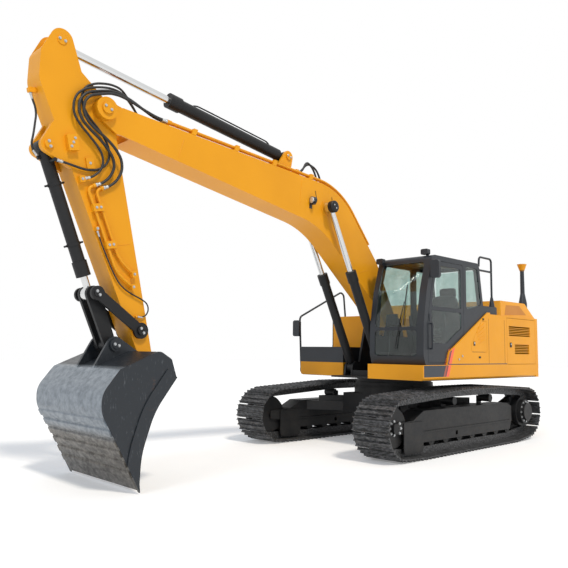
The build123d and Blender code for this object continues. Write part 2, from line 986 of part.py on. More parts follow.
# Side doors of the engine bay
bay_door_low = skirt_top + door_gap
bay_door_high = house_top - 36
bay_front_edge = rear_bay_front - 46
bay_rear_edge = rear_bay_rear + door_gap


slat_pitch = 28
slat_height = 11
slat_depth = 14
bay_grilles = [
    # rear, front, low, high
    (-2197, -1400, 1756, 1922),
    (-2150, -1603, 1451, 1620),
]


def bay_door(outer_y, inward):
    """Side door with its grilles, cut through and filled with level slats."""
    slab(
        side(outer_y),
        [
            (bay_rear_edge, bay_door_low, 0),
            (bay_front_edge, bay_door_low, 0),
            (bay_front_edge, bay_door_high, 0),
            (bay_rear_edge, bay_door_high, 0),
        ],
        inward * door_thickness,
    )
    for rear, fore, low_z, high_z in bay_grilles:
        slab(
            side(outer_y + inward),
            [(rear, low_z, 12), (fore, low_z, 12), (fore, high_z, 12), (rear, high_z, 12)],
            inward * (door_thickness + 2),
            mode=Mode.SUBTRACT,
        )
        for index in range(int((high_z - low_z) / slat_pitch)):
            slat_z = low_z + (index + 0.7) * slat_pitch
            slab(
                side(outer_y - inward * 6),
                [
                    (rear - 4, slat_z, 0),
                    (fore + 4, slat_z, 0),
                    (fore + 4, slat_z + slat_height, 0),
                    (rear - 4, slat_z + slat_height, 0),
                ],
                inward * slat_depth,
            )


with BuildPart() as radiator_door:
    bay_door(body_half_width, 1)
radiator_door.part.label = "radiator_door"
export_step(radiator_door.part, "parts/radiator_door.step")

with BuildPart() as pump_door:
    bay_door(-body_half_width, -1)
pump_door.part.label = "pump_door"
export_step(pump_door.part, "parts/pump_door.step")

# Engine hood: a hollow frustum over the bay
hood_skin = 20
exhaust_x = -2050
exhaust_y = -600
exhaust_radius = 75


def frustum(base, crown, base_z, crown_z, inset, mode=Mode.ADD):
    with BuildSketch(level(base_z)) as low:
        with Locations(((base[0] + base[1]) / 2, 0)):
            Rectangle(base[1] - base[0] - 2 * inset, 2 * base[2] - 2 * inset)
    with BuildSketch(level(crown_z)) as high:
        with Locations(((crown[0] + crown[1]) / 2, 0)):
            Rectangle(crown[1] - crown[0] - 2 * inset, 2 * crown[2] - 2 * inset)
    loft([low.sketch, high.sketch], mode=mode)


with BuildPart() as engine_hood:
    frustum(hood_base, hood_crown, house_top + seat_gap, hood_top, 0)
    frustum(hood_base, hood_crown, house_top, hood_top - hood_skin, hood_skin, Mode.SUBTRACT)
    # rim of the exhaust well
    with BuildSketch(level(hood_top)) as well:
        with Locations((exhaust_x, exhaust_y)):
            Circle(exhaust_radius + 20)
            Circle(exhaust_radius, mode=Mode.SUBTRACT)
    extrude(well.sketch, amount=12)
engine_hood.part.label = "engine_hood"
export_step(engine_hood.part, "parts/engine_hood.step")

# Engine block
with BuildPart() as engine_block:
    box(-2150, -1450, -700, 500, deck_bottom + deck_plate, 1950)
engine_block.part.label = "engine_block"
export_step(engine_block.part, "parts/engine_block.step")

# Grey cover behind the cab
cover_rear = rear_bay_front + 170
cover_front = house_front + 100
cover_top = 2225
with BuildPart() as house_cover:
    slab(
        side(1300),
        [
            (cover_front, house_top + seat_gap, 0),
            (cover_front, cover_top, 30),
            (cover_rear, cover_top, 20),
            (cover_rear, house_top + seat_gap, 0),
        ],
        1000,
    )
house_cover.part.label = "house_cover"
export_step(house_cover.part, "parts/house_cover.step")

# Beacon mast on the counterweight: flared foot, post and a yellow cup
mast_x = -2590
mast_y = 1065
mast_foot_radius = 75
mast_rings = [
    # low, high, radius below, radius above
    (house_top + seat_gap, house_top + 300, mast_foot_radius, mast_foot_radius),
    (house_top + 300, house_top + 490, mast_foot_radius, 40),
    (house_top + 490, 3005, 40, 36),
    (3005, 3130, 42, 85),
]
with BuildPart() as beacon_mast:
    for low_z, high_z, low_radius, high_radius in mast_rings:
        with BuildSketch(level(low_z)) as low_disc:
            with Locations((mast_x, mast_y)):
                Circle(low_radius)
        with BuildSketch(level(high_z)) as high_disc:
            with Locations((mast_x, mast_y)):
                Circle(high_radius)
        loft([low_disc.sketch, high_disc.sketch])
beacon_mast.part.label = "beacon_mast"
export_step(beacon_mast.part, "parts/beacon_mast.step")

# Handrails of bent tube, with the pads that hold them
rail_radius = 17


def tube_path(points, bend, radius):
    """Bent round tube through points; bend is one radius, or a list with one for each corner."""
    with BuildLine() as path:
        FilletPolyline(*points, radius=bend)
    start = Vector(*points[0])
    with BuildSketch(Plane(origin=start, z_dir=Vector(*points[1]) - start)) as ring:
        Circle(radius)
    sweep(ring.sketch, path=path.wires()[0])


rail_y = -body_half_width - 34
rail_front_x = 857
rear_rail_y = 1250
rear_rail_x = cover_rear + 70
rear_rail_top = 3035
mid_rail_z = 2815
cab_rear_at_rail = -487.5
boot_radius = 50
boot_height = 165
right_rail = [
    # forward, up
    (800, 1110),
    (850, 2050),
    (-330, 2600),
    (-400, 2000),
]
rail_pads = [(801, 1130), (-50, 1540), (-398, 2020)]
with BuildPart() as handrails:
    tube_path(
        [
            (slew_x + rear_rail_x, rear_rail_y, cover_top + seat_gap),
            (slew_x + rear_rail_x, rear_rail_y, rear_rail_top),
            (slew_x + rear_rail_x + 400, rear_rail_y, rear_rail_top),
            (slew_x + rear_rail_x + 420, rear_rail_y, mid_rail_z + 60),
        ],
        60,
        rail_radius,
    )
    round_bar(
        Vector(slew_x + rear_rail_x, rear_rail_y, mid_rail_z),
        Vector(slew_x + cab_rear_at_rail, rear_rail_y, mid_rail_z),
        rail_radius,
    )
    with BuildSketch(level(cover_top + seat_gap)) as boot_low:
        with Locations((rear_rail_x, rear_rail_y)):
            Circle(boot_radius)
    with BuildSketch(level(cover_top + boot_height)) as boot_high:
        with Locations((rear_rail_x, rear_rail_y)):
            Circle(rail_radius + 4)
    loft([boot_low.sketch, boot_high.sketch])
    tube_path([(slew_x + along, rail_y, up) for along, up in right_rail], 90, rail_radius)
    round_bar(Vector(slew_x - 50, rail_y, 1510), Vector(slew_x - 50, rail_y, 2470), rail_radius)
    for pad_x, pad_z in rail_pads:
        box(
            pad_x - 30,
            pad_x + 30,
            rail_y,
            -body_half_width - seat_gap,
            pad_z - 30,
            pad_z + 30,
        )
handrails.part.label = "handrails"
export_step(handrails.part, "parts/handrails.step")

# Cab shell
cab_profile = [
    # forward, up, corner radius
    (1090, cab_floor, 20),
    (1140, 1420, 200),
    (1130, 1850, 500),
    (1045, 2350, 700),
    (880, cab_roof, 90),
    (-470, cab_roof, 90),
    (-600, 2150, 60),
    (-600, cab_floor, 20),
]
cab_width = cab_outer - cab_inner
cab_rear_face = -595
pane_gap = 0.3


windscreens = [
    # low and high edge; the crossbar stands between them
    (1400, 1775),
    (1825, 2790),
]


def screen_rows(low_z, high_z):
    """Opening of one part of the windscreen."""
    low_y, high_y = cab_inner + 90, cab_outer - 120
    return [
        (low_y, low_z, 50),
        (high_y, low_z, 50),
        (high_y, high_z, 50),
        (low_y, high_z, 50),
    ]


quarter_window = [
    (-60, 2130, 30),
    (-60, 2800, 40),
    (-420, 2800, 40),
    (-520, 2230, 40),
]
right_window = [
    (60, 1700, 40),
    (960, 1700, 40),
    (900, 2350, 40),
    (760, 2800, 60),
    (60, 2800, 40),
]
rear_window = [
    (cab_inner + 90, 2180, 40),
    (cab_outer - 90, 2180, 40),
    (cab_outer - 90, 2800, 40),
    (cab_inner + 90, 2800, 40),
]
door_rear = 30
door_slant_top = 1755
door_slant_front = 500
door_rows = [
    (door_slant_front, 1310, 20),
    (1020, 1310, 20),
    (1020, 1900, 0),
    (932, 2350, 0),
    (796, 2810, 60),
    (door_rear, 2810, 40),
    (door_rear, door_slant_top, 20),
    (door_slant_front, door_slant_top - 0.534 * (door_slant_front - door_rear), 60),
]
with BuildPart() as cab_shell:
    slab(side(cab_outer), cab_profile, cab_width)
    with BuildSketch(side(cab_outer - cab_wall)) as inside:
        outline(cab_profile)
        offset(amount=-cab_wall, kind=Kind.INTERSECTION)
    extrude(inside.sketch, amount=cab_width - 2 * cab_wall, mode=Mode.SUBTRACT)
    for low_z, high_z in windscreens:
        slab(front(700), screen_rows(low_z, high_z), 600, mode=Mode.SUBTRACT)
    with BuildSketch(side(cab_outer + 1)) as doorway:
        outline(door_rows)
        offset(amount=door_gap, kind=Kind.INTERSECTION)
    extrude(doorway.sketch, amount=cab_wall + 2, mode=Mode.SUBTRACT)
    # side windows and rear window
    for hand_y in (cab_outer + 1, cab_inner + cab_wall + 1):
        slab(side(hand_y), quarter_window, cab_wall + 2, mode=Mode.SUBTRACT)
    slab(side(cab_inner + cab_wall + 1), right_window, cab_wall + 2, mode=Mode.SUBTRACT)
    slab(front(-680), rear_window, 250, mode=Mode.SUBTRACT)
    for low_z in cab_hinges:
        box(
            door_rear - door_gap - 1,
            door_rear - seat_gap,
            cab_outer - cab_wall + 5,
            cab_outer - 5,
            low_z,
            low_z + hinge_length,
        )
cab_shell.part.label = "cab_shell"
export_step(cab_shell.part, "parts/cab_shell.step")

# Cab door, with an upper and a lower window and a pull handle
door_windows = [
    [
        (door_rear + 70, 2130, 30),
        (910, 2130, 30),
        (870, 2350, 0),
        (760, 2740, 50),
        (door_rear + 70, 2740, 40),
    ],
    [
        (door_slant_front + 30, 1594, 50),
        (930, 1594, 40),
        (925, 2070, 30),
        (door_rear + 70, 2070, 30),
        (door_rear + 70, 1830, 40),
    ],
]
with BuildPart() as cab_door:
    slab(side(cab_outer), door_rows, cab_wall)
    for rows in door_windows:
        slab(side(cab_outer + 1), rows, cab_wall + 2, mode=Mode.SUBTRACT)
    box(930, 990, cab_outer, cab_outer + 8, 1905, 2010)
    for grip_z in (1860, 1500):
        box(958, 978, cab_outer, cab_outer + 48, grip_z, grip_z + 20)
    box(958, 978, cab_outer + 30, cab_outer + 48, 1500, 1880)
cab_door.part.label = "cab_door"
export_step(cab_door.part, "parts/cab_door.step")

# Glass panes of the cab, each 6 mm thick and set in its opening
glass = 6
with BuildPart() as cab_glass:
    with BuildSketch(side(cab_outer)) as pane:
        outline(cab_profile)
        offset(amount=-12, kind=Kind.INTERSECTION)
    with BuildSketch(side(cab_outer)) as inner_pane:
        outline(cab_profile)
        offset(amount=-12 - glass, kind=Kind.INTERSECTION)
    extrude(pane.sketch, amount=cab_width)
    extrude(inner_pane.sketch, amount=cab_width, mode=Mode.SUBTRACT)
    with BuildSketch(front(700)) as screens:
        for low_z, high_z in windscreens:
            outline(screen_rows(low_z, high_z))
        offset(amount=-pane_gap, kind=Kind.INTERSECTION)
    extrude(screens.sketch, amount=600, mode=Mode.INTERSECT)
cab_glass.part.label = "cab_glass"
export_step(cab_glass.part, "parts/cab_glass.step")


def flat_pane(plane, rows):
    """Pane set back in its window with a small gap all round."""
    with BuildSketch(plane) as opening:
        outline(rows)
        offset(amount=-pane_gap, kind=Kind.INTERSECTION)
    extrude(opening.sketch, amount=glass)


pane_inset = 10
with BuildPart() as cab_side_glass:
    flat_pane(side(cab_outer - pane_inset), quarter_window)
    flat_pane(side(cab_inner + pane_inset + glass), quarter_window)
    flat_pane(side(cab_inner + pane_inset + glass), right_window)
    flat_pane(front(cab_rear_face + pane_inset), rear_window)
cab_side_glass.part.label = "cab_side_glass"
export_step(cab_side_glass.part, "parts/cab_side_glass.step")

with BuildPart() as cab_door_glass:
    for rows in door_windows:
        flat_pane(side(cab_outer - pane_inset), rows)
cab_door_glass.part.label = "cab_door_glass"
export_step(cab_door_glass.part, "parts/cab_door_glass.step")

# Seat
seat_y = (cab_inner + cab_outer) / 2
with BuildPart() as cab_seat:
    box(-150, 150, seat_y - 150, seat_y + 150, cab_floor + cab_wall, 1700)
    slab(
        side(seat_y),
        [
            (-330, 1700, 40),
            (260, 1700, 50),
            (270, 1830, 50),
            (-130, 1820, 60),
            (-260, 2480, 50),
            (-370, 2460, 50),
        ],
        250,
        both=True,
    )
cab_seat.part.label = "cab_seat"
export_step(cab_seat.part, "parts/cab_seat.step")

# Armrest consoles with their control sticks, and the display post by the windscreen
console_in = 262
console_width = 90
with BuildPart() as cab_controls:
    for hand in (1, -1):
        low_y, high_y = sorted(
            (seat_y + hand * console_in, seat_y + hand * (console_in + console_width))
        )
        slab(
            side(high_y),
            [
                (-120, cab_floor + cab_wall, 0),
                (200, cab_floor + cab_wall, 0),
                (360, 1790, 40),
                (360, 1870, 30),
                (-160, 1850, 30),
            ],
            high_y - low_y,
        )
        stick_y = (low_y + high_y) / 2
        round_bar(Vector(slew_x + 300, stick_y, 1850), Vector(slew_x + 320, stick_y, 2040), 18)
    round_bar(
        Vector(slew_x + 860, cab_inner + 150, cab_floor + cab_wall + 2),
        Vector(slew_x + 800, cab_inner + 150, 1900),
        16,
    )
    box(770, 800, cab_inner + 60, cab_inner + 260, 1880, 2040)
cab_controls.part.label = "cab_controls"
export_step(cab_controls.part, "parts/cab_controls.step")

# Lamps and mirrors of the cab
lamp_spots = [
    # back, left and middle height of the lamp, then its stem: back, front, low, high
    (815, 1200, 2945, 775, 820, cab_roof + seat_gap, 2930),
    (940, 470, 2850, 909, 960, 2798, 2812),
]
with BuildPart() as cab_lamps:
    for lamp_x, lamp_y, lamp_z, stem_rear, stem_front, stem_low, stem_high in lamp_spots:
        with BuildSketch(front(lamp_x)) as lamp:
            with Locations((lamp_y, lamp_z)):
                RectangleRounded(120, 84, 20)
        extrude(lamp.sketch, amount=75)
        box(stem_rear, stem_front, lamp_y - 14, lamp_y + 14, stem_low, stem_high)
cab_lamps.part.label = "cab_lamps"
export_step(cab_lamps.part, "parts/cab_lamps.step")

mirror_depth = 55
mirror_left_x = 905
mirror_right_x = 880
with BuildPart() as mirrors:
    with BuildSketch(front(mirror_left_x)) as head:
        with Locations((cab_outer + 82, 2665)):
            RectangleRounded(145, 260, 40)
    extrude(head.sketch, amount=mirror_depth)
    box(mirror_left_x + 5, mirror_left_x + 35, cab_outer + seat_gap, cab_outer + 20, 2640, 2660)
    with BuildSketch(front(mirror_right_x)) as head:
        with Locations((rail_y - 12, 1850)):
            RectangleRounded(150, 280, 40)
    extrude(head.sketch, amount=mirror_depth)
    box(rail_front_x, mirror_right_x + 20, rail_y - 8, rail_y + 8, 1842, 1858)
mirrors.part.label = "mirrors"
export_step(mirrors.part, "parts/mirrors.step")

# Boom: a welded box, hollow, with its foot tube and the fork that carries the arm
boom_outline = [
    # along the chord, up, corner radius
    (-60, 140, 100),
    (740, 765, 500),
    (boom_crown_along, boom_crown_up, 1100),
    (boom_nose_along, boom_nose_up, 60),
    (boom_nose_along, -150, 60),
    (5400, -135, 0),
    (2160, 626, 1400),
    (420, 92, 500),
    (60, -135, 60),
]
rod_boss_radius = 105
rod_boss_out = 203
with BuildPart() as boom:
    slab(boom_line, boom_outline, boom_half_width, both=True)
    with BuildSketch(boom_line) as inside:
        outline(boom_outline)
        offset(amount=-boom_wall, kind=Kind.INTERSECTION)
        with Locations((boom_length, 0)):
            Rectangle(2 * fork_reach + 40, 900, mode=Mode.SUBTRACT)
        Circle(boom_boss_radius + 40, mode=Mode.SUBTRACT)
    extrude(inside.sketch, amount=boom_half_width - boom_wall, both=True, mode=Mode.SUBTRACT)
    with BuildSketch(boom_line) as slot:
        with Locations((boom_length, 0)):
            Rectangle(2 * fork_reach, 900)
    extrude(slot.sketch, amount=fork_inner, both=True, mode=Mode.SUBTRACT)
    with BuildSketch(boom_line) as foot:
        Circle(boom_boss_radius)
    extrude(foot.sketch, amount=boom_half_width, both=True)
    with BuildSketch(boom_line) as foot_bore:
        Circle(boom_pin + pin_fit)
    extrude(foot_bore.sketch, amount=boom_half_width + 1, both=True, mode=Mode.SUBTRACT)
    for hand in (1, -1):
        fork_y = fork_outer if hand > 0 else -fork_inner
        plate_y = boom_half_width if hand > 0 else -fork_inner
        fork_plane = tilted(boom_foot_x, boom_foot_z, boom_rest_angle, fork_y)
        with BuildSketch(fork_plane) as boss:
            with Locations((boom_length, 0)):
                Circle(125)
        extrude(boss.sketch, amount=fork_outer - fork_inner)
        hull_slab(
            tilted(boom_foot_x, boom_foot_z, boom_rest_angle, plate_y),
            [(boom_length, 0, 125), (5480, 60, 100), (5480, -60, 100)],
            boom_half_width - fork_inner,
        )
        # lugs of the arm cylinder
        lug_y = 100 if hand > 0 else -65
        hull_slab(
            tilted(boom_foot_x, boom_foot_z, boom_rest_angle, lug_y),
            [
                (arm_cylinder_along, arm_cylinder_up, 85),
                (arm_cylinder_along - 120, arm_cylinder_up - 260, 20),
                (arm_cylinder_along + 130, arm_cylinder_up - 340, 20),
            ],
            35,
        )
    cross_bar(boom_rod_at, -rod_boss_out, rod_boss_out, rod_boss_radius)
    cross_bar(boom_tip, -fork_outer - 12, fork_outer + 12, boom_pin)
    cross_bar(arm_cylinder_at, -110, 110, cylinder_pin)
boom.part.label = "boom"
export_step(boom.part, "parts/boom.step")

# Steel pipes over the boom's top, held by clamp blocks
pipe_radius = 16
collar_radius = 24
collar_length = 60
pipe_end = 4980
pipe_lift = 52
boom_pipe_ys = (128, 168)
foot_slope = (boom_crown_up - 765) / (boom_crown_along - 740)
boom_pipe_rows = [
    # along the chord, height over it
    (1020, 765 + foot_slope * 280 + pipe_lift / cos(atan2(foot_slope, 1))),
    (boom_crown_along - 3, boom_crown_up + pipe_lift / cos(atan2(foot_slope - boom_slope, 2))),
    (pipe_end, boom_top_at(pipe_end) + pipe_lift / cos(atan2(boom_slope, 1))),
]
clamp_alongs = (2600, 3300, 3950, 4600)
with BuildPart() as boom_pipes:
    for hand in (1, -1):
        clamp_y = (boom_pipe_ys[1] + 30) if hand > 0 else -(boom_pipe_ys[0] - 30)
        for along in clamp_alongs:
            low, high = boom_top_at(along - 30), boom_top_at(along + 30)
            slab(
                tilted(boom_foot_x, boom_foot_z, boom_rest_angle, clamp_y),
                [
                    (along - 30, low + seat_gap, 0),
                    (along + 30, high + seat_gap, 0),
                    (along + 30, high + pipe_lift + 34, 0),
                    (along - 30, low + pipe_lift + 34, 0),
                ],
                boom_pipe_ys[1] - boom_pipe_ys[0] + 60,
            )
        for pipe_y in boom_pipe_ys:
            points = [machine(boom_line, along, up, hand * pipe_y) for along, up in boom_pipe_rows]
            tube_path([(p.X, p.Y, p.Z) for p in points], 1100 + pipe_lift, pipe_radius)
            pipe_way = (points[-1] - points[-2]).normalized()
            round_bar(points[-1] - pipe_way * collar_length, points[-1], collar_radius)
boom_pipes.part.label = "boom_pipes"
export_step(boom_pipes.part, "parts/boom_pipes.step")

# Work lamp on the boom's left side
lamp_along = 2400
lamp_up = 870
with BuildPart() as work_lamp:
    bracket = machine(boom_line, lamp_along + 60, lamp_up - 60, boom_half_width + seat_gap)
    body = machine(boom_line, lamp_along, lamp_up, boom_half_width + 70)
    box(
        bracket.X - slew_x - 25,
        bracket.X - slew_x + 25,
        bracket.Y,
        bracket.Y + 85,
        bracket.Z - 8,
        bracket.Z + 4,
    )
    box(
        bracket.X - slew_x - 25,
        bracket.X - slew_x + 25,
        bracket.Y,
        bracket.Y + 8,
        bracket.Z - 60,
        bracket.Z + 4,
    )
    with BuildSketch(front(bracket.X - slew_x - 30)) as lamp:
        with Locations((body.Y - 15, bracket.Z + 54)):
            Circle(52)
    extrude(lamp.sketch, amount=60)
work_lamp.part.label = "work_lamp"
export_step(work_lamp.part, "parts/work_lamp.step")

# Arm: hollow box, head with the eye of its cylinder, lugs of the bucket cylinder
eye_half = 58


def arm_tube(along, out, radius, half, bore):
    """Cross tube of the arm with its bore."""
    with BuildSketch(arm_line) as tube:
        with Locations((along, out)):
            Circle(radius)
    extrude(tube.sketch, amount=half, both=True)
    with BuildSketch(arm_line) as hole:
        with Locations((along, out)):
            Circle(bore)
    extrude(hole.sketch, amount=half + 1, both=True, mode=Mode.SUBTRACT)


with BuildPart() as arm:
    hull_slab(arm_line, arm_head, arm_half_width, both=True)
    hull_slab(arm_line, arm_beam, arm_half_width, both=True)
    for rows in (arm_head, arm_beam):
        hollow = [(along, out, radius - arm_wall) for along, out, radius in rows]
        hull_slab(arm_line, hollow, arm_half_width - arm_wall, both=True, mode=Mode.SUBTRACT)
    # mouth of the clevis, open towards the arm cylinder
    slab(
        arm_line,
        [
            (head_pin_back - 420, head_pin_out - 560, 0),
            (-440, -60, 0),
            (-400, 330, 0),
            (-540, 440, 0),
            (-700, 640, 0),
            (-1000, 760, 0),
        ],
        arm_half_width - arm_wall,
        both=True,
        mode=Mode.SUBTRACT,
    )
    for hand in (1, -1):
        boss_y = arm_half_width if hand > 0 else -eye_half - side_clearance
        head_plane = tilted(boom_tip.X - slew_x, boom_tip.Z, arm_rest_angle, boss_y)
        with BuildSketch(head_plane) as boss:
            with Locations((head_pin_back, head_pin_out)):
                Circle(95)
        extrude(boss.sketch, amount=arm_half_width - eye_half - side_clearance)
        lug_y = 150 if hand > 0 else -92
        lug_plane = tilted(boom_tip.X - slew_x, boom_tip.Z, arm_rest_angle, lug_y)
        hull_slab(
            lug_plane,
            [
                (bucket_cylinder_along, bucket_cylinder_out, 85),
                (120, 560, 20),
                (620, 470, 20),
            ],
            58,
        )
    arm_tube(0, 0, 130, arm_boss_half, boom_pin + pin_fit)
    arm_tube(arm_length, 0, 110, arm_boss_half, arm_pin + pin_fit)
    arm_tube(arm_length - rocker_back, 0, 85, arm_boss_half, arm_pin + pin_fit)
    cross_bar(bucket_cylinder_at, -165, 165, cylinder_pin)
arm.part.label = "arm"
export_step(arm.part, "parts/arm.step")

def arm_front_at(along):
    """Height of the beam's straight front plate over the arm's chord."""
    (x0, z0, r0), middle, (x1, z1, r1) = arm_beam
    normal = atan2(z1 - z0, x1 - x0) + acos((r0 - r1) / hypot(x1 - x0, z1 - z0))
    return z0 + (r0 - (along - x0) * cos(normal)) / sin(normal)


# Pipes on the arm's left side, with clamps, brackets and the end blocks of the valves
arm_pipe_lift = 34
arm_pipe_elbow = 58
arm_pipe_bend = 400
arm_pipes_rows = [
    [(862, 175), (880, 264), (1640, 126), (1832, -17)],
    [(828, 262), (849, 354), (1800, 178), (1971, 20)],
]
return_hose_port = (2314, 17.5)
arm_blocks = [
    # along, out, half length, half height, depth
    (367, 443, 85, 60, 60),
    (584, 266, 60, 45, 20),
    (1070, 276, 42, 62, 62),
    (1485, 197, 42, 62, 62),
    (1842, -25, 36, 30, 66),
    (1981, 12, 32, 24, 66),
    (756, 406, 34, 30, 58),
    (1295, 322, 22, 18, 46),
]
with BuildPart() as arm_pipes:
    for rows in arm_pipes_rows:
        points = [machine(arm_line, along, out, arm_half_width + arm_pipe_lift) for along, out in rows]
        tube_path([(p.X, p.Y, p.Z) for p in points], [arm_pipe_elbow, arm_pipe_bend], pipe_radius)
        collar_way = (points[1] - points[0]).normalized()
        round_bar(points[0], points[0] + collar_way * (collar_length / 2), collar_radius)
    for along, out, half, rise, depth in arm_blocks:
        slab(
            tilted(boom_tip.X - slew_x, boom_tip.Z, arm_rest_angle, arm_half_width + seat_gap + depth),
            [
                (along - half, out - rise, 8),
                (along + half, out - rise, 8),
                (along + half, out + rise, 8),
                (along - half, out + rise, 8),
            ],
            depth,
        )
    port_at = machine(arm_line, *return_hose_port)
    cross_bar(port_at, arm_half_width + seat_gap, 184, 13)
    # block on the front plate of the head
    slab(
        arm_line,
        [
            (-245, arm_front_at(-245) + seat_gap, 0),
            (-195, arm_front_at(-195) + seat_gap, 0),
            (-195, 748, 8),
            (-245, 748, 8),
        ],
        22,
        both=True,
    )
arm_pipes.part.label = "arm_pipes"
export_step(arm_pipes.part, "parts/arm_pipes.step")


# Cylinders: a barrel with its base eye, and a rod with its own eye
bore_bottom = 150


def barrel(base, tip, eye_radius, eye_width, tube, gland, start, length, bore, centre_y):
    """Barrel from its base eye towards tip; length is from the base pin to the gland's end."""
    way = (tip - base).normalized()
    origin = Vector(base.X, centre_y, base.Z)
    cross_bar(origin, centre_y - eye_width / 2, centre_y + eye_width / 2, eye_radius)
    round_bar(origin, origin + way * (start + 1), min(tube, eye_width / 2 - 2))
    round_bar(origin + way * start, origin + way * length, tube)
    round_bar(origin + way * (length - 170), origin + way * length, gland)
    round_bar(origin + way * bore_bottom, origin + way * (length + 1), bore, 0, Mode.SUBTRACT)
    cross_bar(
        origin,
        centre_y - eye_width / 2 - 1,
        centre_y + eye_width / 2 + 1,
        cylinder_pin + pin_fit,
        Mode.SUBTRACT,
    )


def rod(base, tip, eye_radius, eye_width, radius, retraction, centre_y, pin_half):
    """Rod that ends in its eye at tip, and reaches the bore's bottom when it goes in by retraction."""
    way = (tip - base).normalized()
    origin = Vector(tip.X, centre_y, tip.Z)
    start = Vector(base.X, centre_y, base.Z) + way * (bore_bottom + 15 + retraction)
    round_bar(start, origin - way * (eye_radius - 20), radius)
    cross_bar(origin, centre_y - eye_width / 2, centre_y + eye_width / 2, eye_radius)
    cross_bar(origin, centre_y - pin_half, centre_y + pin_half, cylinder_pin)


rod_fit = 1
boom_rod_shown = 1024
boom_barrel_length = (boom_rod_at - boom_cylinder_foot).length - boom_rod_shown
boom_rod_radius = 42
boom_rod_retraction = 780
with BuildPart() as boom_barrels:
    for hand in (1, -1):
        barrel(
            boom_cylinder_foot, boom_rod_at, 85, 88, 70, 82, 125,
            boom_barrel_length, boom_rod_radius + rod_fit, hand * boom_cylinder_y,
        )
boom_barrels.part.label = "boom_barrels"
export_step(boom_barrels.part, "parts/boom_barrels.step")

with BuildPart() as boom_rods:
    for hand in (1, -1):
        rod(
            boom_cylinder_foot, boom_rod_at, 85, 90, boom_rod_radius,
            boom_rod_retraction, hand * boom_cylinder_y, 80,
        )
boom_rods.part.label = "boom_rods"
export_step(boom_rods.part, "parts/boom_rods.step")

arm_rod_shown = 1457
arm_barrel_length = (arm_rod_at - arm_cylinder_at).length - arm_rod_shown
arm_rod_radius = 48
arm_rod_retraction = 1260
with BuildPart() as arm_barrel:
    barrel(
        arm_cylinder_at, arm_rod_at, 85, 120, 80, 95, 130,
        arm_barrel_length, arm_rod_radius + rod_fit, 0,
    )
arm_barrel.part.label = "arm_barrel"
export_step(arm_barrel.part, "parts/arm_barrel.step")

with BuildPart() as arm_rod:
    rod(
        arm_cylinder_at, arm_rod_at, 95, 2 * eye_half, arm_rod_radius,
        arm_rod_retraction, 0, eye_half + 3,
    )
arm_rod.part.label = "arm_rod"
export_step(arm_rod.part, "parts/arm_rod.step")

bucket_rod_shown = 201
bucket_barrel_length = (link_pin_at - bucket_cylinder_at).length - bucket_rod_shown
bucket_rod_radius = 40
bucket_rod_retraction = 50
link_eye_half = 52
bucket_tube_radius = 68
port_along = 165
port_radius = 18
port_hose_y = 172
rear_port_along = 100
rear_port_out = 95
band_alongs = (400, 1060)
band_half = 16
band_stub = 112
with BuildPart() as bucket_barrel:
    barrel(
        bucket_cylinder_at, link_pin_at, 80, 170, bucket_tube_radius, 80, 20,
        bucket_barrel_length, bucket_rod_radius + rod_fit, 0,
    )
    cylinder_way = (link_pin_at - bucket_cylinder_at).normalized()
    cylinder_angle = degrees(atan2(cylinder_way.Z, cylinder_way.X))
    cylinder_line = tilted(bucket_cylinder_at.X - slew_x, bucket_cylinder_at.Z, cylinder_angle)
    # ports: one to the left side, one to the front
    cross_bar(machine(cylinder_line, port_along, 0), bucket_tube_radius - 8, port_hose_y + 18, port_radius)
    round_bar(
        machine(cylinder_line, rear_port_along, bucket_tube_radius - 8),
        machine(cylinder_line, rear_port_along, rear_port_out),
        port_radius + 2,
    )
    # clamp bands with a stub on both sides
    for along in band_alongs:
        band_ends = [machine(cylinder_line, along + way * band_half, 0) for way in (-1, 1)]
        round_bar(band_ends[0], band_ends[1], bucket_tube_radius + 7, bucket_tube_radius - 4)
        for way in (1, -1):
            round_bar(
                machine(cylinder_line, along, way * (bucket_tube_radius - 4)),
                machine(cylinder_line, along, way * band_stub),
                11,
            )
bucket_barrel.part.label = "bucket_barrel"
export_step(bucket_barrel.part, "parts/bucket_barrel.step")

with BuildPart() as bucket_rod:
    rod(
        bucket_cylinder_at, link_pin_at, 80, 2 * link_eye_half, bucket_rod_radius,
        bucket_rod_retraction, 0, link_eye_half + 3,
    )
bucket_rod.part.label = "bucket_rod"
export_step(bucket_rod.part, "parts/bucket_rod.step")

# Hoses: rubber tubes through hand placed points, each corner as round as its two runs allow
corner_share = 0.45


def hose(label, points, diameter):
    """Hose through points, given in order, that prints its tightest radius in diameters."""
    radii = []
    for before, corner, after in zip(points, points[1:], points[2:]):
        arriving, leaving = corner - before, after - corner
        half_turn = radians(arriving.get_angle(leaving)) / 2
        radii.append(corner_share * min(arriving.length, leaving.length) / tan(half_turn))
    tube_path([(p.X, p.Y, p.Z) for p in points], radii, diameter / 2)
    print(label, "tightest radius", round(min(radii) / diameter, 1), "diameters")


def boom_pipe_end(y, ahead):
    """Point ahead of a boom pipe's front end, in line with it."""
    rise = boom_top_at(pipe_end + ahead) + pipe_lift / cos(atan2(boom_slope, 1))
    return machine(boom_line, pipe_end + ahead, rise, y)


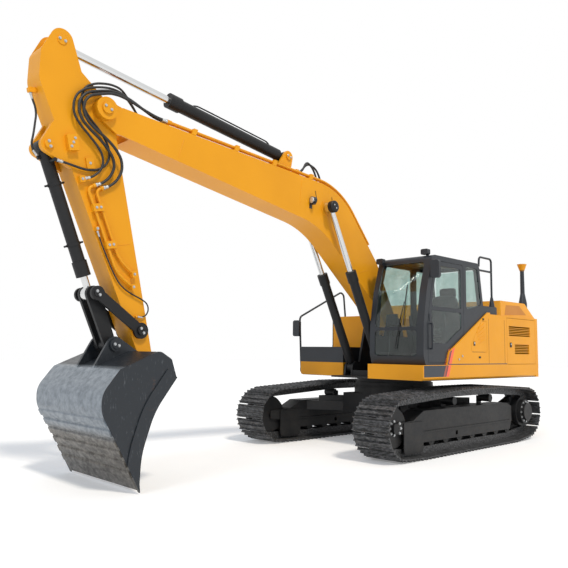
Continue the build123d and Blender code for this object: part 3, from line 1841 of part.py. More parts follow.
swing_hoses_rows = [
    # diameter, y of its pipe, points on the boom, points on the arm: along, up, y
    (
        32,
        boom_pipe_ys[1],
        [(5290, 322, 178), (5450, 300, 192), (5610, 262, 208)],
        [
            (-176, -92, 226),
            (-152, 70, 242),
            (-135, 175, 248),
            (-70, 255, 250),
            (30, 290, 250),
            (135, 265, 248),
            (230, 185, 246),
            (320, 80, 244),
            (430, -20, 240),
            (560, -85, 232),
            (690, -75, 222),
            (795, 5, 200),
            (845.5, 90, 184),
            (862, 175 - seat_gap, 184),
        ],
    ),
    (
        32,
        boom_pipe_ys[0],
        [(5290, 345, 138), (5450, 335, 152), (5620, 300, 174)],
        [
            (-212, -95, 196),
            (-192, 75, 216),
            (-165, 205, 228),
            (-95, 295, 232),
            (10, 335, 232),
            (125, 318, 232),
            (225, 245, 230),
            (320, 150, 226),
            (430, 65, 222),
            (545, 5, 216),
            (660, 10, 208),
            (758, 86, 196),
            (808, 172, 184),
            (828, 262 - seat_gap, 184),
        ],
    ),
    (
        26,
        -boom_pipe_ys[0],
        [(5280, 380, -70), (5440, 385, 20), (5600, 360, 110)],
        [
            (-250, -120, 176),
            (-240, 50, 204),
            (-215, 200, 212),
            (-150, 315, 212),
            (-45, 375, 212),
            (75, 385, 212),
            (185, 330, 210),
            (290, 250, 208),
            (385, 182, 206),
            (490, 128, 204),
            (600, 128, 202),
            (690, 195, 200),
            (741, 290, 190),
            (750, 376 - 1.8, 186),
        ],
    ),
    (
        26,
        -boom_pipe_ys[1],
        [(5270, 420, -120), (5430, 440, -40), (5600, 430, 60)],
        [
            (-300, -140, 156),
            (-292, 40, 172),
            (-250, 170, 174),
            (-160, 240, 174),
            (-40, 250, 176),
            (80, 205, 180),
            (190, 130, 184),
            (300, 60, 184),
            (420, 20, 180),
            (540, 30, 177),
            (632, 110, 174),
            (668, 230, 174),
            (655, 350, 178),
            (615, 462, 180),
            (573, 570, 176),
            (547.3, 645.7, port_hose_y),
        ],
    ),
]
with BuildPart() as swing_hoses:
    for diameter, pipe_y, boom_rows, arm_rows in swing_hoses_rows:
        points = [boom_pipe_end(pipe_y, seat_gap), boom_pipe_end(pipe_y, 130)]
        points += [machine(boom_line, along, up, y) for along, up, y in boom_rows]
        points += [machine(arm_line, along, out, y) for along, out, y in arm_rows]
        hose("swing hose", points, diameter)
swing_hoses.part.label = "swing_hoses"
export_step(swing_hoses.part, "parts/swing_hoses.step")

# Hose from the arm's front plate to the rear port of the bucket cylinder
port_hose_rows = [
    # along, out
    (-193, 722),
    (-120, 712),
    (-40, 696),
    (40, 702),
    (110, 725),
    (185, 748),
    (262, 775),
    (335, 805),
    (405, 800),
    (465.6, 764.4),
]
with BuildPart() as bucket_hose:
    hose("bucket hose", [machine(arm_line, along, out) for along, out in port_hose_rows], 22)
bucket_hose.part.label = "bucket_hose"
export_step(bucket_hose.part, "parts/bucket_hose.step")

# Thin hose held on the arm's left side, from its bracket to the port beside the rocker
arm_hose_rows = [
    # along, out, y
    (1318.8, 320, 175),
    (1480, 292, 175),
    (1640, 255, 175),
    (1800, 212, 175),
    (1930, 160, 176),
    (2015, 85, 176),
    (2080, 0, 177),
    (2130, -75, 178),
    (2185, -135, 178),
    (2236.4, -151.7, 178),
    (2288.8, -138.6, 178),
    (2326.3, -99.8, 177),
    (2337.5, -47, 175),
    (2319, 3.7, 172),
]
with BuildPart() as arm_hose:
    hose("arm hose", [machine(arm_line, along, out, y) for along, out, y in arm_hose_rows], 16)
arm_hose.part.label = "arm_hose"
export_step(arm_hose.part, "parts/arm_hose.step")

# Rocker links on the arm and the link that pushes the bucket
rocker_inner = arm_boss_half + 4
rocker_plate = 38
link_plate_in = link_eye_half + side_clearance + 3
link_plate_out = link_plate_in + 42
with BuildPart() as rocker_links:
    rocker_way = (link_pin_at - rocker_pin_at).normalized()
    rocker_angle = degrees(atan2(rocker_way.Z, rocker_way.X))
    for hand in (1, -1):
        plate_y = rocker_inner + rocker_plate if hand > 0 else -rocker_inner
        hull_slab(
            tilted(rocker_pin_at.X - slew_x, rocker_pin_at.Z, rocker_angle, plate_y),
            [(0, 0, 57), (rocker_length, 0, 57)],
            rocker_plate,
        )
        for spot, radius in ((rocker_pin_at, 90), (link_pin_at, 78)):
            cross_bar(
                spot,
                hand * rocker_inner,
                hand * (rocker_inner + rocker_plate),
                radius,
            )
        cross_bar(
            link_pin_at,
            hand * (link_eye_half + side_clearance),
            hand * (rocker_inner + rocker_plate),
            arm_pin,
        )
    cross_bar(rocker_pin_at, -rocker_inner - rocker_plate - 14, rocker_inner + rocker_plate + 14, arm_pin)
rocker_links.part.label = "rocker_links"
export_step(rocker_links.part, "parts/rocker_links.step")

with BuildPart() as bucket_link:
    link_way = (ear_pin_at - link_pin_at).normalized()
    link_angle = degrees(atan2(link_way.Z, link_way.X))
    for hand in (1, -1):
        plate_y = link_plate_out if hand > 0 else -link_plate_in
        link_plane = tilted(link_pin_at.X - slew_x, link_pin_at.Z, link_angle, plate_y)
        with BuildSketch(link_plane) as cheek:
            hull([(0, 0, 85), (bucket_link_length, 0, 70)])
            Circle(arm_pin + pin_fit, mode=Mode.SUBTRACT)
        extrude(cheek.sketch, amount=link_plate_out - link_plate_in)
    with BuildSketch(tilted(link_pin_at.X - slew_x, link_pin_at.Z, link_angle)) as web:
        with Locations((bucket_link_length - 130, 0)):
            Rectangle(170, 50)
    extrude(web.sketch, amount=link_plate_in + 5, both=True)
    cross_bar(ear_pin_at, -ear_inner + side_clearance, ear_inner - side_clearance, 64)
bucket_link.part.label = "bucket_link"
export_step(bucket_link.part, "parts/bucket_link.step")

# Bucket: side plates, curved wrapper, lip, ears
bucket_sides = [
    # forward and up from the bucket pin, corner radius
    (400, -1130, 0),
    (390, -850, 900),
    (250, -430, 900),
    (-17, -81, 0),
    (50, 110, 40),
    (200, 200, 90),
    (660, 10, 60),
    (850, -230, 240),
    (842, -420, 240),
    (600, -830, 600),
    (389, -1222, 0),
]
band_thickness = 14
band_width = 150
back_rows = [
    # forward and up from the bucket pin, corner radius
    (226, 176, 0),
    (652, -2, 60),
    (836, -235, 230),
    (828, -420, 230),
    (588, -824, 600),
    (393, -1190, 0),
]
strip_count = 6
strip_first = 45
strip_pitch = 122
strip_width = 88
strip_height = 16


def back_point(distance):
    """Point on the straight lower back of the bucket, from its upper end."""
    (x0, z0, r0), (x1, z1, r1), (x2, z2, r2) = back_rows[3:]
    upper = hypot(x1 - x0, z1 - z0)
    if distance <= upper:
        part = distance / upper
        return x0 + part * (x1 - x0), z0 + part * (z1 - z0)
    part = (distance - upper) / hypot(x2 - x1, z2 - z1)
    return x1 + part * (x2 - x1), z1 + part * (z2 - z1)


wear_strips = []
for index in range(strip_count):
    low = strip_first + index * strip_pitch
    wear_strips.append((*back_point(low), *back_point(low + strip_width)))
with BuildPart() as bucket:
    for hand in (1, -1):
        plate_y = bucket_half_width if hand > 0 else -bucket_half_width + bucket_side
        slab(
            tilted(bucket_pin_at.X - slew_x, bucket_pin_at.Z, 0, plate_y),
            bucket_sides,
            bucket_side,
        )
    with BuildSketch(bucket_line) as wrapper:
        with BuildLine() as back:
            FilletPolyline(
                [(along, up) for along, up, radius in back_rows],
                radius=[radius for along, up, radius in back_rows[1:-1]],
            )
        trace(back.edges(), line_width=bucket_skin)
    extrude(wrapper.sketch, amount=bucket_half_width - bucket_side + 1, both=True)
    for hand in (1, -1):
        ear_y = ear_inner + ear_plate if hand > 0 else -ear_inner
        ear_plane = tilted(bucket_pin_at.X - slew_x, bucket_pin_at.Z, 0, ear_y)
        with BuildSketch(ear_plane) as ear:
            hull([(0, 0, 88), (ear_along, ear_up, 92), (640, 10, 20), (200, 150, 30)])
        extrude(ear.sketch, amount=ear_plate)
        cap_y = ear_boss_out if hand > 0 else -ear_inner
        cap_plane = tilted(bucket_pin_at.X - slew_x, bucket_pin_at.Z, 0, cap_y)
        with BuildSketch(cap_plane) as caps:
            Circle(75)
            with Locations((ear_along, ear_up)):
                Circle(70)
        extrude(caps.sketch, amount=ear_boss_out - ear_inner)
    # raised band along the opening edge of both side plates
    for hand in (1, -1):
        band_y = bucket_half_width + band_thickness if hand > 0 else -bucket_half_width + 1
        with BuildSketch(tilted(bucket_pin_at.X - slew_x, bucket_pin_at.Z, 0, band_y)) as band:
            with BuildLine() as edge:
                FilletPolyline((389, -1222), (400, -1130), (390, -850), (250, -430), (-17, -81), radius=[60, 900, 900])
            trace(edge.edges(), line_width=2 * band_width)
            outline(bucket_sides, Mode.INTERSECT)
        extrude(band.sketch, amount=band_thickness + 1)
    # wear strips across the lower back
    for start_x, start_z, end_x, end_z in wear_strips:
        lean = degrees(atan2(end_z - start_z, end_x - start_x))
        span = hypot(end_x - start_x, end_z - start_z)
        strip_line = tilted(bucket_pin_at.X - slew_x + start_x, bucket_pin_at.Z + start_z, lean)
        slab(
            strip_line,
            [
                (0, bucket_skin / 2 - 5, 0),
                (span, bucket_skin / 2 - 5, 0),
                (span - 6, bucket_skin / 2 + strip_height, 0),
                (14, bucket_skin / 2 + strip_height, 0),
            ],
            bucket_half_width - 14,
            both=True,
        )
    cross_bar(bucket_pin_at, -ear_inner, ear_inner, arm_pin)
bucket.part.label = "bucket"
export_step(bucket.part, "parts/bucket.step")
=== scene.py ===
# %% [markdown]
# # Crawler excavator: from the solid model to the picture
# The solid model gives every shape that is held by a joint.
# This lesson gives it its finishes, the small parts, the light and the camera.
# All lengths are in metres unless a line says millimetres,
# x = 0 is near the middle of the whole length, +X is forward and +Y is to the left.

# %% Load the frame
import json
import math
import bmesh
import bpy
from mathutils import Matrix, Vector
from mathutils.bvhtree import BVHTree


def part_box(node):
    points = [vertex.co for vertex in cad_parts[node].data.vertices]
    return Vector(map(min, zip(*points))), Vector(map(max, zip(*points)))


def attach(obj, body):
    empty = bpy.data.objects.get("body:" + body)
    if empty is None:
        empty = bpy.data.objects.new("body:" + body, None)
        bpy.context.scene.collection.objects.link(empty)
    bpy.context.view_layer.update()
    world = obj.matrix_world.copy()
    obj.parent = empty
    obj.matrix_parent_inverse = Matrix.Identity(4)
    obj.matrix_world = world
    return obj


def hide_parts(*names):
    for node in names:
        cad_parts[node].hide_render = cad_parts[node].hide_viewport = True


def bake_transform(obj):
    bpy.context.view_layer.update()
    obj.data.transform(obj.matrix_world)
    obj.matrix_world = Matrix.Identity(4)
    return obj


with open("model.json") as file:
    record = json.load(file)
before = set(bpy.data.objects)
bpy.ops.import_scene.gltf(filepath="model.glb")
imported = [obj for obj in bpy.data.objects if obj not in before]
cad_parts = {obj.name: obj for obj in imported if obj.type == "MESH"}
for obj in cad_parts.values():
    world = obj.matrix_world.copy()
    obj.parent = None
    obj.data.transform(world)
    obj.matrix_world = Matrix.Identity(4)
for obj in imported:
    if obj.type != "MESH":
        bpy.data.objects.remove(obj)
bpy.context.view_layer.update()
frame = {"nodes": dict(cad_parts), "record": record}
scene = bpy.context.scene
print("nodes loaded:", len(frame["nodes"]))

# %% [markdown]
# ## Colours and finishes
# A finish is a small tree of shader nodes.
# One function adds a node with its settings and its links, and each finish calls it.
# Patterns are laid in the object's own coordinates, in millimetres,
# so that dust, scratches and orange peel have their real size:
# a noise whose scale is 1 / 900 has blotches about 900 millimetres across.

# %% Node tools
NOISE, SPAN = "ShaderNodeTexNoise", "ShaderNodeMapRange"
MIX, MATH = "ShaderNodeMix", "ShaderNodeMath"


def colour(text):
    """A colour written as sRGB hex, as the linear values that the shader takes."""
    values = [int(text[i:i + 2], 16) / 255 for i in (1, 3, 5)]
    linear = [v / 12.92 if v <= 0.04045 else ((v + 0.055) / 1.055) ** 2.4 for v in values]
    return (*linear, 1.0)


def give(node, inputs):
    """Gives a node its inputs: a socket is linked, a hex text is a colour, the rest are plain values."""
    for key, value in inputs.items():
        if isinstance(value, bpy.types.NodeSocket):
            node.id_data.links.new(value, node.inputs[key])
        elif isinstance(value, str) and value.startswith("#"):
            node.inputs[key].default_value = colour(value)
        else:
            node.inputs[key].default_value = value


def add(tree, kind, inputs=None, output=0, **settings):
    """Adds a node with its own settings and its inputs, and returns the output that is wanted."""
    made = tree.nodes.new(kind)
    for key, value in settings.items():
        setattr(made, key, value)
    give(made, inputs or {})
    return made.outputs[output] if made.outputs else None


def blank(name):
    """A new finish: its material, node tree, Principled shader and place in millimetres."""
    made = bpy.data.materials.new(name)
    made.use_nodes = True
    tree = made.node_tree
    place = add(tree, "ShaderNodeTexCoord", output="Object")
    place = add(tree, "ShaderNodeVectorMath", {0: place, "Scale": 1000.0}, operation="SCALE")
    return made, tree, tree.nodes["Principled BSDF"], place


print("node tools ready")

# %% [markdown]
# ## Paint
# The yellow paint is a sprayed enamel: a clear gloss over a faint orange peel.
# Its tone drifts a little from plate to plate, and low down it carries a film of dust.
# The dark paints are flatter, and dust shows more on them.

# %% Paints
def paint(name, base, tint, rough, coat, dust, dust_top, dust_amount):
    """Sprayed paint: tone drift, orange peel, and dust that fades out at dust_top millimetres."""
    made, tree, shader, place = blank(name)
    drift = add(tree, NOISE, {"Vector": place, "Scale": 1 / 900, "Detail": 2, "Roughness": 0.55})
    drift = add(tree, SPAN, {"Value": drift, "From Min": 0.35, "From Max": 0.65})
    tone = add(tree, MIX, {0: drift, 6: base, 7: tint}, 2, data_type="RGBA")
    height = add(tree, "ShaderNodeSeparateXYZ", {0: place}, "Z")
    low = add(tree, SPAN, {"Value": height, "From Max": dust_top, "To Min": 1.0, "To Max": 0.0})
    film = add(tree, NOISE, {"Vector": place, "Scale": 1 / 140, "Detail": 6, "Roughness": 0.7})
    film = add(tree, SPAN, {"Value": film, "From Min": 0.4, "From Max": 0.75, "To Max": dust_amount})
    amount = add(tree, MATH, {0: low, 1: film}, operation="MULTIPLY")
    dusty = add(tree, MIX, {0: amount, 6: tone, 7: dust}, 2, data_type="RGBA")
    smear = add(tree, NOISE, {"Vector": place, "Scale": 1 / 45, "Detail": 5, "Roughness": 0.65})
    smear = add(tree, SPAN,
                {"Value": smear, "From Min": 0.3, "From Max": 0.8, "To Min": rough, "To Max": rough + 0.14})
    peel = add(tree, NOISE, {"Vector": place, "Scale": 1 / 6, "Detail": 2, "Roughness": 0.55})
    peel = add(tree, "ShaderNodeBump", {"Height": peel, "Distance": 0.0001})
    give(shader, {"Base Color": dusty, "Roughness": smear, "Normal": peel, "Coat Weight": coat,
                  "Coat Roughness": 0.12, "Specular IOR Level": 0.3})
    return made


# name, two tones, roughness, coat, the dust's tone, its top in millimetres and its most
finishes = {
    # bright enamel: the eye reads the machine by this one colour
    "yellow_paint": paint("enamel_yellow", "#E89E14", "#E09711", 0.40, 0.05, "#B49B78", 1100, 0.35),
    # near-black paint of the undercarriage, dusty where the tracks throw it
    "black_paint": paint("enamel_black", "#141517", "#1B1C1E", 0.46, 0.05, "#5E5850", 1200, 0.16),
    # blue-grey of the cab frame and the deck parts
    "grey_paint": paint("enamel_slate", "#2B2F35", "#24282D", 0.38, 0.15, "#77716A", 1200, 0.15),
}
print("paints:", sorted(finishes))

# %% [markdown]
# ## Track steel and chrome
# Bare steel is never one tone: the shoes are rolled brown-grey, rubbed by stones and stained by rust.
# One stretched noise can serve as streak, roughness and dents at once, so that all three agree.
# Chrome stays clean because the wiper seal polishes it at each stroke, so it only gets hairlines.

# %% Track steel and chrome
def track_steel(name):
    """Rolled shoe steel: brown-grey, with rubbed streaks across the shoes and rust in patches."""
    made, tree, shader, place = blank(name)
    grain = add(tree, "ShaderNodeVectorMath", {0: place, 1: (1.0, 0.4, 1.0)}, operation="MULTIPLY")
    streak = add(tree, NOISE, {"Vector": grain, "Scale": 1 / 26, "Detail": 6, "Roughness": 0.7})
    rubbed = add(tree, SPAN, {"Value": streak, "From Min": 0.42, "From Max": 0.72})
    tone = add(tree, MIX, {0: rubbed, 6: "#353636", 7: "#77777A"}, 2, data_type="RGBA")
    patch = add(tree, NOISE, {"Vector": place, "Scale": 1 / 160, "Detail": 6, "Roughness": 0.62})
    stain = add(tree, SPAN, {"Value": patch, "From Min": 0.66, "From Max": 0.78, "To Max": 0.75})
    tone = add(tree, MIX, {0: stain, 6: tone, 7: "#4A4038"}, 2, data_type="RGBA")
    rough = add(tree, SPAN,
                {"Value": streak, "From Min": 0.3, "From Max": 0.7, "To Min": 0.60, "To Max": 0.40})
    metal = add(tree, SPAN, {"Value": stain, "From Max": 0.75, "To Min": 0.6, "To Max": 0.1})
    dents = add(tree, "ShaderNodeBump", {"Height": streak, "Distance": 0.0005})
    give(shader, {"Base Color": tone, "Roughness": rough, "Metallic": metal, "Normal": dents})
    return made


def chrome(name):
    """Hard chrome on a rod: bright, with hairlines along the stroke."""
    made, tree, shader, place = blank(name)
    hair = add(tree, NOISE, {"Vector": place, "Scale": 1 / 9, "Detail": 4, "Roughness": 0.7})
    rough = add(tree, SPAN, {"Value": hair, "From Min": 0.3, "From Max": 0.75, "To Min": 0.10, "To Max": 0.26})
    lines = add(tree, "ShaderNodeBump", {"Height": hair, "Distance": 0.00001})
    give(shader, {"Base Color": "#D5D6D6", "Metallic": 1.0, "Roughness": rough, "Normal": lines})
    return made


print("metals ready")

# %% [markdown]
# ## Glass, rubber and cloth
# The cab's panes are laminated glass with a green tint, the hoses are rubber wrapped in cloth to cure,
# and the seat is covered in woven cloth.
# Glass could be a plain transparent shader, but then it would not bend or mirror the white ground.

# %% Glass, rubber and cloth
def pane(name):
    """Tinted laminated glass: green-grey, with a trace of dust that catches the light."""
    made, tree, shader, place = blank(name)
    tint = add(tree, NOISE, {"Vector": place, "Scale": 1 / 260, "Detail": 4, "Roughness": 0.55})
    tint = add(tree, SPAN, {"Value": tint, "From Min": 0.35, "From Max": 0.7})
    tint = add(tree, MIX, {0: tint, 6: "#CFDDD9", 7: "#BCD0CB"}, 2, data_type="RGBA")
    dust = add(tree, NOISE, {"Vector": place, "Scale": 1 / 70, "Detail": 5, "Roughness": 0.55})
    dust = add(tree, SPAN, {"Value": dust, "From Min": 0.4, "From Max": 0.8, "To Max": 0.08})
    give(shader, {"Base Color": tint, "Roughness": dust, "Transmission Weight": 1.0, "IOR": 1.45})
    return made


def rubber(name):
    """Hose rubber: matt black with a faint wrapped-cloth print."""
    made, tree, shader, place = blank(name)
    bloom = add(tree, NOISE, {"Vector": place, "Scale": 1 / 60, "Detail": 4, "Roughness": 0.55})
    bloom = add(tree, SPAN, {"Value": bloom, "From Min": 0.4, "From Max": 0.7})
    tone = add(tree, MIX, {0: bloom, 6: "#17181A", 7: "#2A2A2A"}, 2, data_type="RGBA")
    rough = add(tree, NOISE, {"Vector": place, "Scale": 1 / 20, "Detail": 3, "Roughness": 0.55})
    rough = add(tree, SPAN, {"Value": rough, "From Min": 0.3, "From Max": 0.7, "To Min": 0.45, "To Max": 0.62})
    wrap = add(tree, NOISE, {"Vector": place, "Scale": 1 / 2, "Detail": 2, "Roughness": 0.55})
    wrap = add(tree, "ShaderNodeBump", {"Height": wrap, "Distance": 0.00015})
    give(shader, {"Base Color": tone, "Roughness": rough, "Normal": wrap})
    return made


def cloth(name):
    """Woven seat cloth: crossed threads two millimetres apart, twice the real spacing so that they show."""
    made, tree, shader, place = blank(name)
    warp, weft = (add(tree, "ShaderNodeTexWave", {"Vector": place, "Scale": 0.15, "Distortion": 0.6}, "Fac",
                      wave_type="BANDS", bands_direction=axis) for axis in "XZ")
    weave = add(tree, MATH, {0: warp, 1: weft}, operation="MAXIMUM")
    tone = add(tree, MIX, {0: weave, 6: "#26282B", 7: "#4A4D50"}, 2, data_type="RGBA")
    threads = add(tree, "ShaderNodeBump", {"Height": weave, "Distance": 0.0005})
    give(shader, {"Base Color": tone, "Roughness": 0.85, "Sheen Weight": 0.3, "Normal": threads})
    return made


print("glass, rubber and cloth ready")

# %% [markdown]
# ## The bucket's plate
# Earth polishes the bucket's back blue-grey, and the wear strips near its lip are browner.
# The sides and the ears touch less, so they keep their dark paint under a few scratches.
# Height and distance from the middle tell these apart, both in millimetres.

# %% Bucket plate
BUCKET_CREST = 1265  # above this height the ears, and the back by them, keep their paint
BUCKET_SIDE = (746, 749)  # the outer faces of the side plates start here
WEAR_STRIPS = (520, 640)  # the brown wear strips fade into the polished back here


def bucket_plate(name):
    """Bucket plate: polished on the back, browned on the wear strips, painted on the sides."""
    made, tree, shader, place = blank(name)
    height = add(tree, "ShaderNodeSeparateXYZ", {0: place}, "Z")
    across = add(tree, MATH, {0: add(tree, "ShaderNodeSeparateXYZ", {0: place}, "Y")},
                 operation="ABSOLUTE")
    grain = add(tree, "ShaderNodeVectorMath", {0: place, 1: (1.0, 0.5, 0.5)}, operation="MULTIPLY")
    streak = add(tree, NOISE, {"Vector": grain, "Scale": 1 / 40, "Detail": 6, "Roughness": 0.65})
    strips = add(tree, SPAN, {"Value": streak, "From Min": 0.4, "From Max": 0.65})
    strips = add(tree, MIX, {0: strips, 6: "#4B4844", 7: "#7A7670"}, 2, data_type="RGBA")
    back = add(tree, SPAN, {"Value": streak, "From Min": 0.35, "From Max": 0.7})
    back = add(tree, MIX, {0: back, 6: "#6C747C", 7: "#8F979F"}, 2, data_type="RGBA")
    high = add(tree, SPAN, {"Value": height, "From Min": WEAR_STRIPS[0], "From Max": WEAR_STRIPS[1]})
    worn = add(tree, MIX, {0: high, 6: strips, 7: back}, 2, data_type="RGBA")
    side = add(tree, SPAN, {"Value": across, "From Min": BUCKET_SIDE[0], "From Max": BUCKET_SIDE[1]})
    ears = add(tree, SPAN, {"Value": height, "From Min": BUCKET_CREST - 10, "From Max": BUCKET_CREST + 10})
    kept = add(tree, MATH, {0: side, 1: ears}, operation="MAXIMUM")
    upright = add(tree, "ShaderNodeVectorMath", {0: place, 1: (1.0, 1.0, 0.25)}, operation="MULTIPLY")
    scratch = add(tree, NOISE, {"Vector": upright, "Scale": 1 / 18, "Detail": 5, "Roughness": 0.6})
    scratch = add(tree, SPAN, {"Value": scratch, "From Min": 0.60, "From Max": 0.78, "To Max": 0.5})
    painted = add(tree, MIX, {0: scratch, 6: "#22272D", 7: "#6A7076"}, 2, data_type="RGBA")
    tone = add(tree, MIX, {0: kept, 6: worn, 7: painted}, 2, data_type="RGBA")
    patch = add(tree, NOISE, {"Vector": place, "Scale": 1 / 260, "Detail": 6, "Roughness": 0.62})
    stain = add(tree, SPAN, {"Value": patch, "From Min": 0.64, "From Max": 0.78, "To Max": 0.6})
    tone = add(tree, MIX, {0: stain, 6: tone, 7: "#6B4A35"}, 2, data_type="RGBA")
    rough = add(tree, SPAN,
                {"Value": streak, "From Min": 0.3, "From Max": 0.7, "To Min": 0.46, "To Max": 0.30})
    metal = add(tree, SPAN, {"Value": kept, "To Min": 0.55, "To Max": 0.2})
    dents = add(tree, "ShaderNodeBump", {"Height": streak, "Distance": 0.0004})
    give(shader, {"Base Color": tone, "Roughness": rough, "Metallic": metal, "Normal": dents})
    return made


finishes |= {
    # track shoes: brown-grey, rubbed bright along the lugs
    "track_steel": track_steel("steel_track"),
    # bucket: blue-grey steel that shines where earth runs over it
    "bucket_steel": bucket_plate("steel_bucket"),
    # rod chrome: the only mirror on the machine
    "chrome_rod": chrome("chrome_hard"),
    # cab glass: pale green-grey, and it shows the seat behind it
    "glass": pane("glass_tinted"),
    # hoses: the flattest black on the machine
    "hose_rubber": rubber("rubber_hose"),
    # seat: a soft dark grey without a highlight
    "seat_fabric": cloth("cloth_woven"),
}
print("finishes:", len(finishes))

# %% [markdown]
# ## Finishes on the solid model
# The record names a finish for each node of the solid model, so one loop hands them all out.

# %% Give the nodes their finishes
slots = {entry["node"]: entry["material_slot"] for entry in frame["record"]["subparts"]}
for node_name, slot in slots.items():
    for holder in frame["nodes"][node_name].material_slots:
        holder.material = finishes[slot]
print("nodes finished:", len(slots))

# %% [markdown]
# ## Places on the machine
# The small parts are given by where they are on the real machine:
# along and above the boom, along and in front of the arm, or forward of the slewing centre.
# A ray then finds the plate under each one, so that a bolt head or a cap sits on the steel.

# %% Places and seats
SLEW_X = -1.73799
# forward of the slewing centre and above the ground, and the lean of the chord in degrees
BOOM_FOOT = (0.325, 1.885, 22.52)
ARM_TOP = (5.5968, 4.0708, -103.05)


def leaning(origin, along, up, y):
    """A point in metres from millimetres along and above a line that leans by an angle."""
    x, z, angle = origin
    c, s = math.cos(math.radians(angle)), math.sin(math.radians(angle))
    return Vector((SLEW_X + x + (along * c - up * s) / 1000, y / 1000, z + (along * s + up * c) / 1000))


def on_boom(along, up, y):
    """A point by its place along the boom's chord and above it."""
    return leaning(BOOM_FOOT, along, up, y)


def on_arm(along, out, y):
    """A point by its place down the arm's chord and in front of it."""
    return leaning(ARM_TOP, along, out, y)


def at_slew(x, y, z):
    """A point in metres, forward of the slewing centre, to the left of it and above the ground."""
    return Vector((SLEW_X + x, y, z))


trees = {}


def seat(node_name, start, way):
    """Where a ray meets a node, and which way that plate faces; None where it misses."""
    if node_name not in trees:
        mesh = frame["nodes"][node_name].data
        trees[node_name] = BVHTree.FromPolygons([v.co for v in mesh.vertices],
                                                [p.vertices for p in mesh.polygons])
    point, facing, _, _ = trees[node_name].ray_cast(Vector(start), Vector(way).normalized())
    if point is None:
        return None
    return point, (facing if facing.dot(Vector(way)) < 0 else -facing)


# the ways in which a ray is sent at the machine's left side and at its right side
LEFT, RIGHT = Vector((0, -1, 0)), Vector((0, 1, 0))
body_of_node = {n: body for body, names in frame["record"]["behaviour"]["bodies"].items()
                for n in names}
print("boom tip at", [round(v, 3) for v in on_boom(5707, 0, 0)])

# %% [markdown]
# ## Tools for the small parts
# Turned parts, such as caps and ferrules, are a profile carried round an axis.
# Hoses and wires are a round section carried along a smooth curve.
# Plates and latches are boxes whose edges are broken, because a sharp edge never catches the light.

# %% Turned shapes and boxes
def turned(net, place, way, profile, sides=32):
    """Carries a profile of (radius, height) in millimetres round the line through place."""
    turn = Vector(way).to_track_quat("Z", "Y")
    rings = []
    for radius, height in profile:
        if radius == 0:
            rings.append([net.verts.new(Vector(place) + turn @ Vector((0, 0, height / 1000)))])
            continue
        ring = []
        for k in range(sides):
            angle = 2 * math.pi * k / sides
            spot = Vector((radius * math.cos(angle), radius * math.sin(angle), height)) / 1000
            ring.append(net.verts.new(Vector(place) + turn @ spot))
        rings.append(ring)
    for low, high in zip(rings, rings[1:]):
        for k in range(sides):
            after = k + 1
            corners = dict.fromkeys([low[k % len(low)], low[after % len(low)],
                                     high[after % len(high)], high[k % len(high)]])
            if len(corners) > 2:
                net.faces.new(list(corners))


def block(net, place, sizes, soft):
    """A box of sizes in millimetres with its edges broken by soft millimetres."""
    made = bmesh.ops.create_cube(net, size=1.0)["verts"]
    bmesh.ops.scale(net, vec=Vector(sizes) / 1000, verts=made)
    edges = list({e for v in made for e in v.link_edges})
    grown = bmesh.ops.bevel(net, geom=edges, offset=soft / 1000, segments=2, affect="EDGES", profile=0.5)
    whole = list({v for f in grown["faces"] for v in f.verts} | {v for v in made if v.is_valid})
    bmesh.ops.translate(net, vec=Vector(place), verts=whole)


print("turned shapes and boxes can be made")

# %% Pieces and hoses
def piece(name, net, finish, body, smooth=35):
    """Turns a net into a piece that rides on a body."""
    bmesh.ops.remove_doubles(net, verts=net.verts, dist=1e-6)
    bmesh.ops.recalc_face_normals(net, faces=net.faces)
    mesh = bpy.data.meshes.new(name)
    net.to_mesh(mesh)
    net.free()
    return place_mesh(name, mesh, finish, body, smooth)


def place_mesh(name, mesh, finish, body, smooth=35):
    """Links a mesh as a piece, gives it its finish and lets it ride on a body."""
    made = bpy.data.objects.new(name, mesh)
    scene.collection.objects.link(made)
    mesh.materials.clear()
    mesh.materials.append(finish)
    mesh.shade_smooth()
    mesh.set_sharp_from_angle(angle=math.radians(smooth))
    if body:
        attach(made, body)
    return made


def evaluated(holder):
    """The plain mesh of a curve or of a mesh with a modifier; its holder is removed."""
    scene.collection.objects.link(holder)
    mesh = bpy.data.meshes.new_from_object(holder.evaluated_get(bpy.context.evaluated_depsgraph_get()))
    bpy.data.objects.remove(holder)
    return mesh


def run(name, points, diameter, finish, body, sides=10):
    """A round hose, wire or bead of diameter millimetres along a smooth curve through its route."""
    data = bpy.data.curves.new(name, "CURVE")
    data.dimensions = "3D"
    spline = data.splines.new("NURBS")
    spline.points.add(len(points) - 1)
    for spot, place in zip(spline.points, points):
        spot.co = (*place, 1)
    spline.order_u = 3
    spline.use_endpoint_u = True
    spline.resolution_u = 5
    data.bevel_depth = diameter / 2000
    data.bevel_resolution = max(0, sides // 4)
    data.use_fill_caps = True
    mesh = evaluated(bpy.data.objects.new(name, data))
    net = bmesh.new()
    net.from_mesh(mesh)
    bpy.data.meshes.remove(mesh)
    return piece(name, net, finish, body, 50)


print("pieces and hoses can be made")

# %% [markdown]
# ## Bolt heads
# A machine like this one shows some hundreds of hex heads.
# Geometry Nodes put one head, with its washer, on each point of a small mesh,
# and turn it to the direction that the point carries.
# One tree serves all, with the head's radius and height as its inputs.

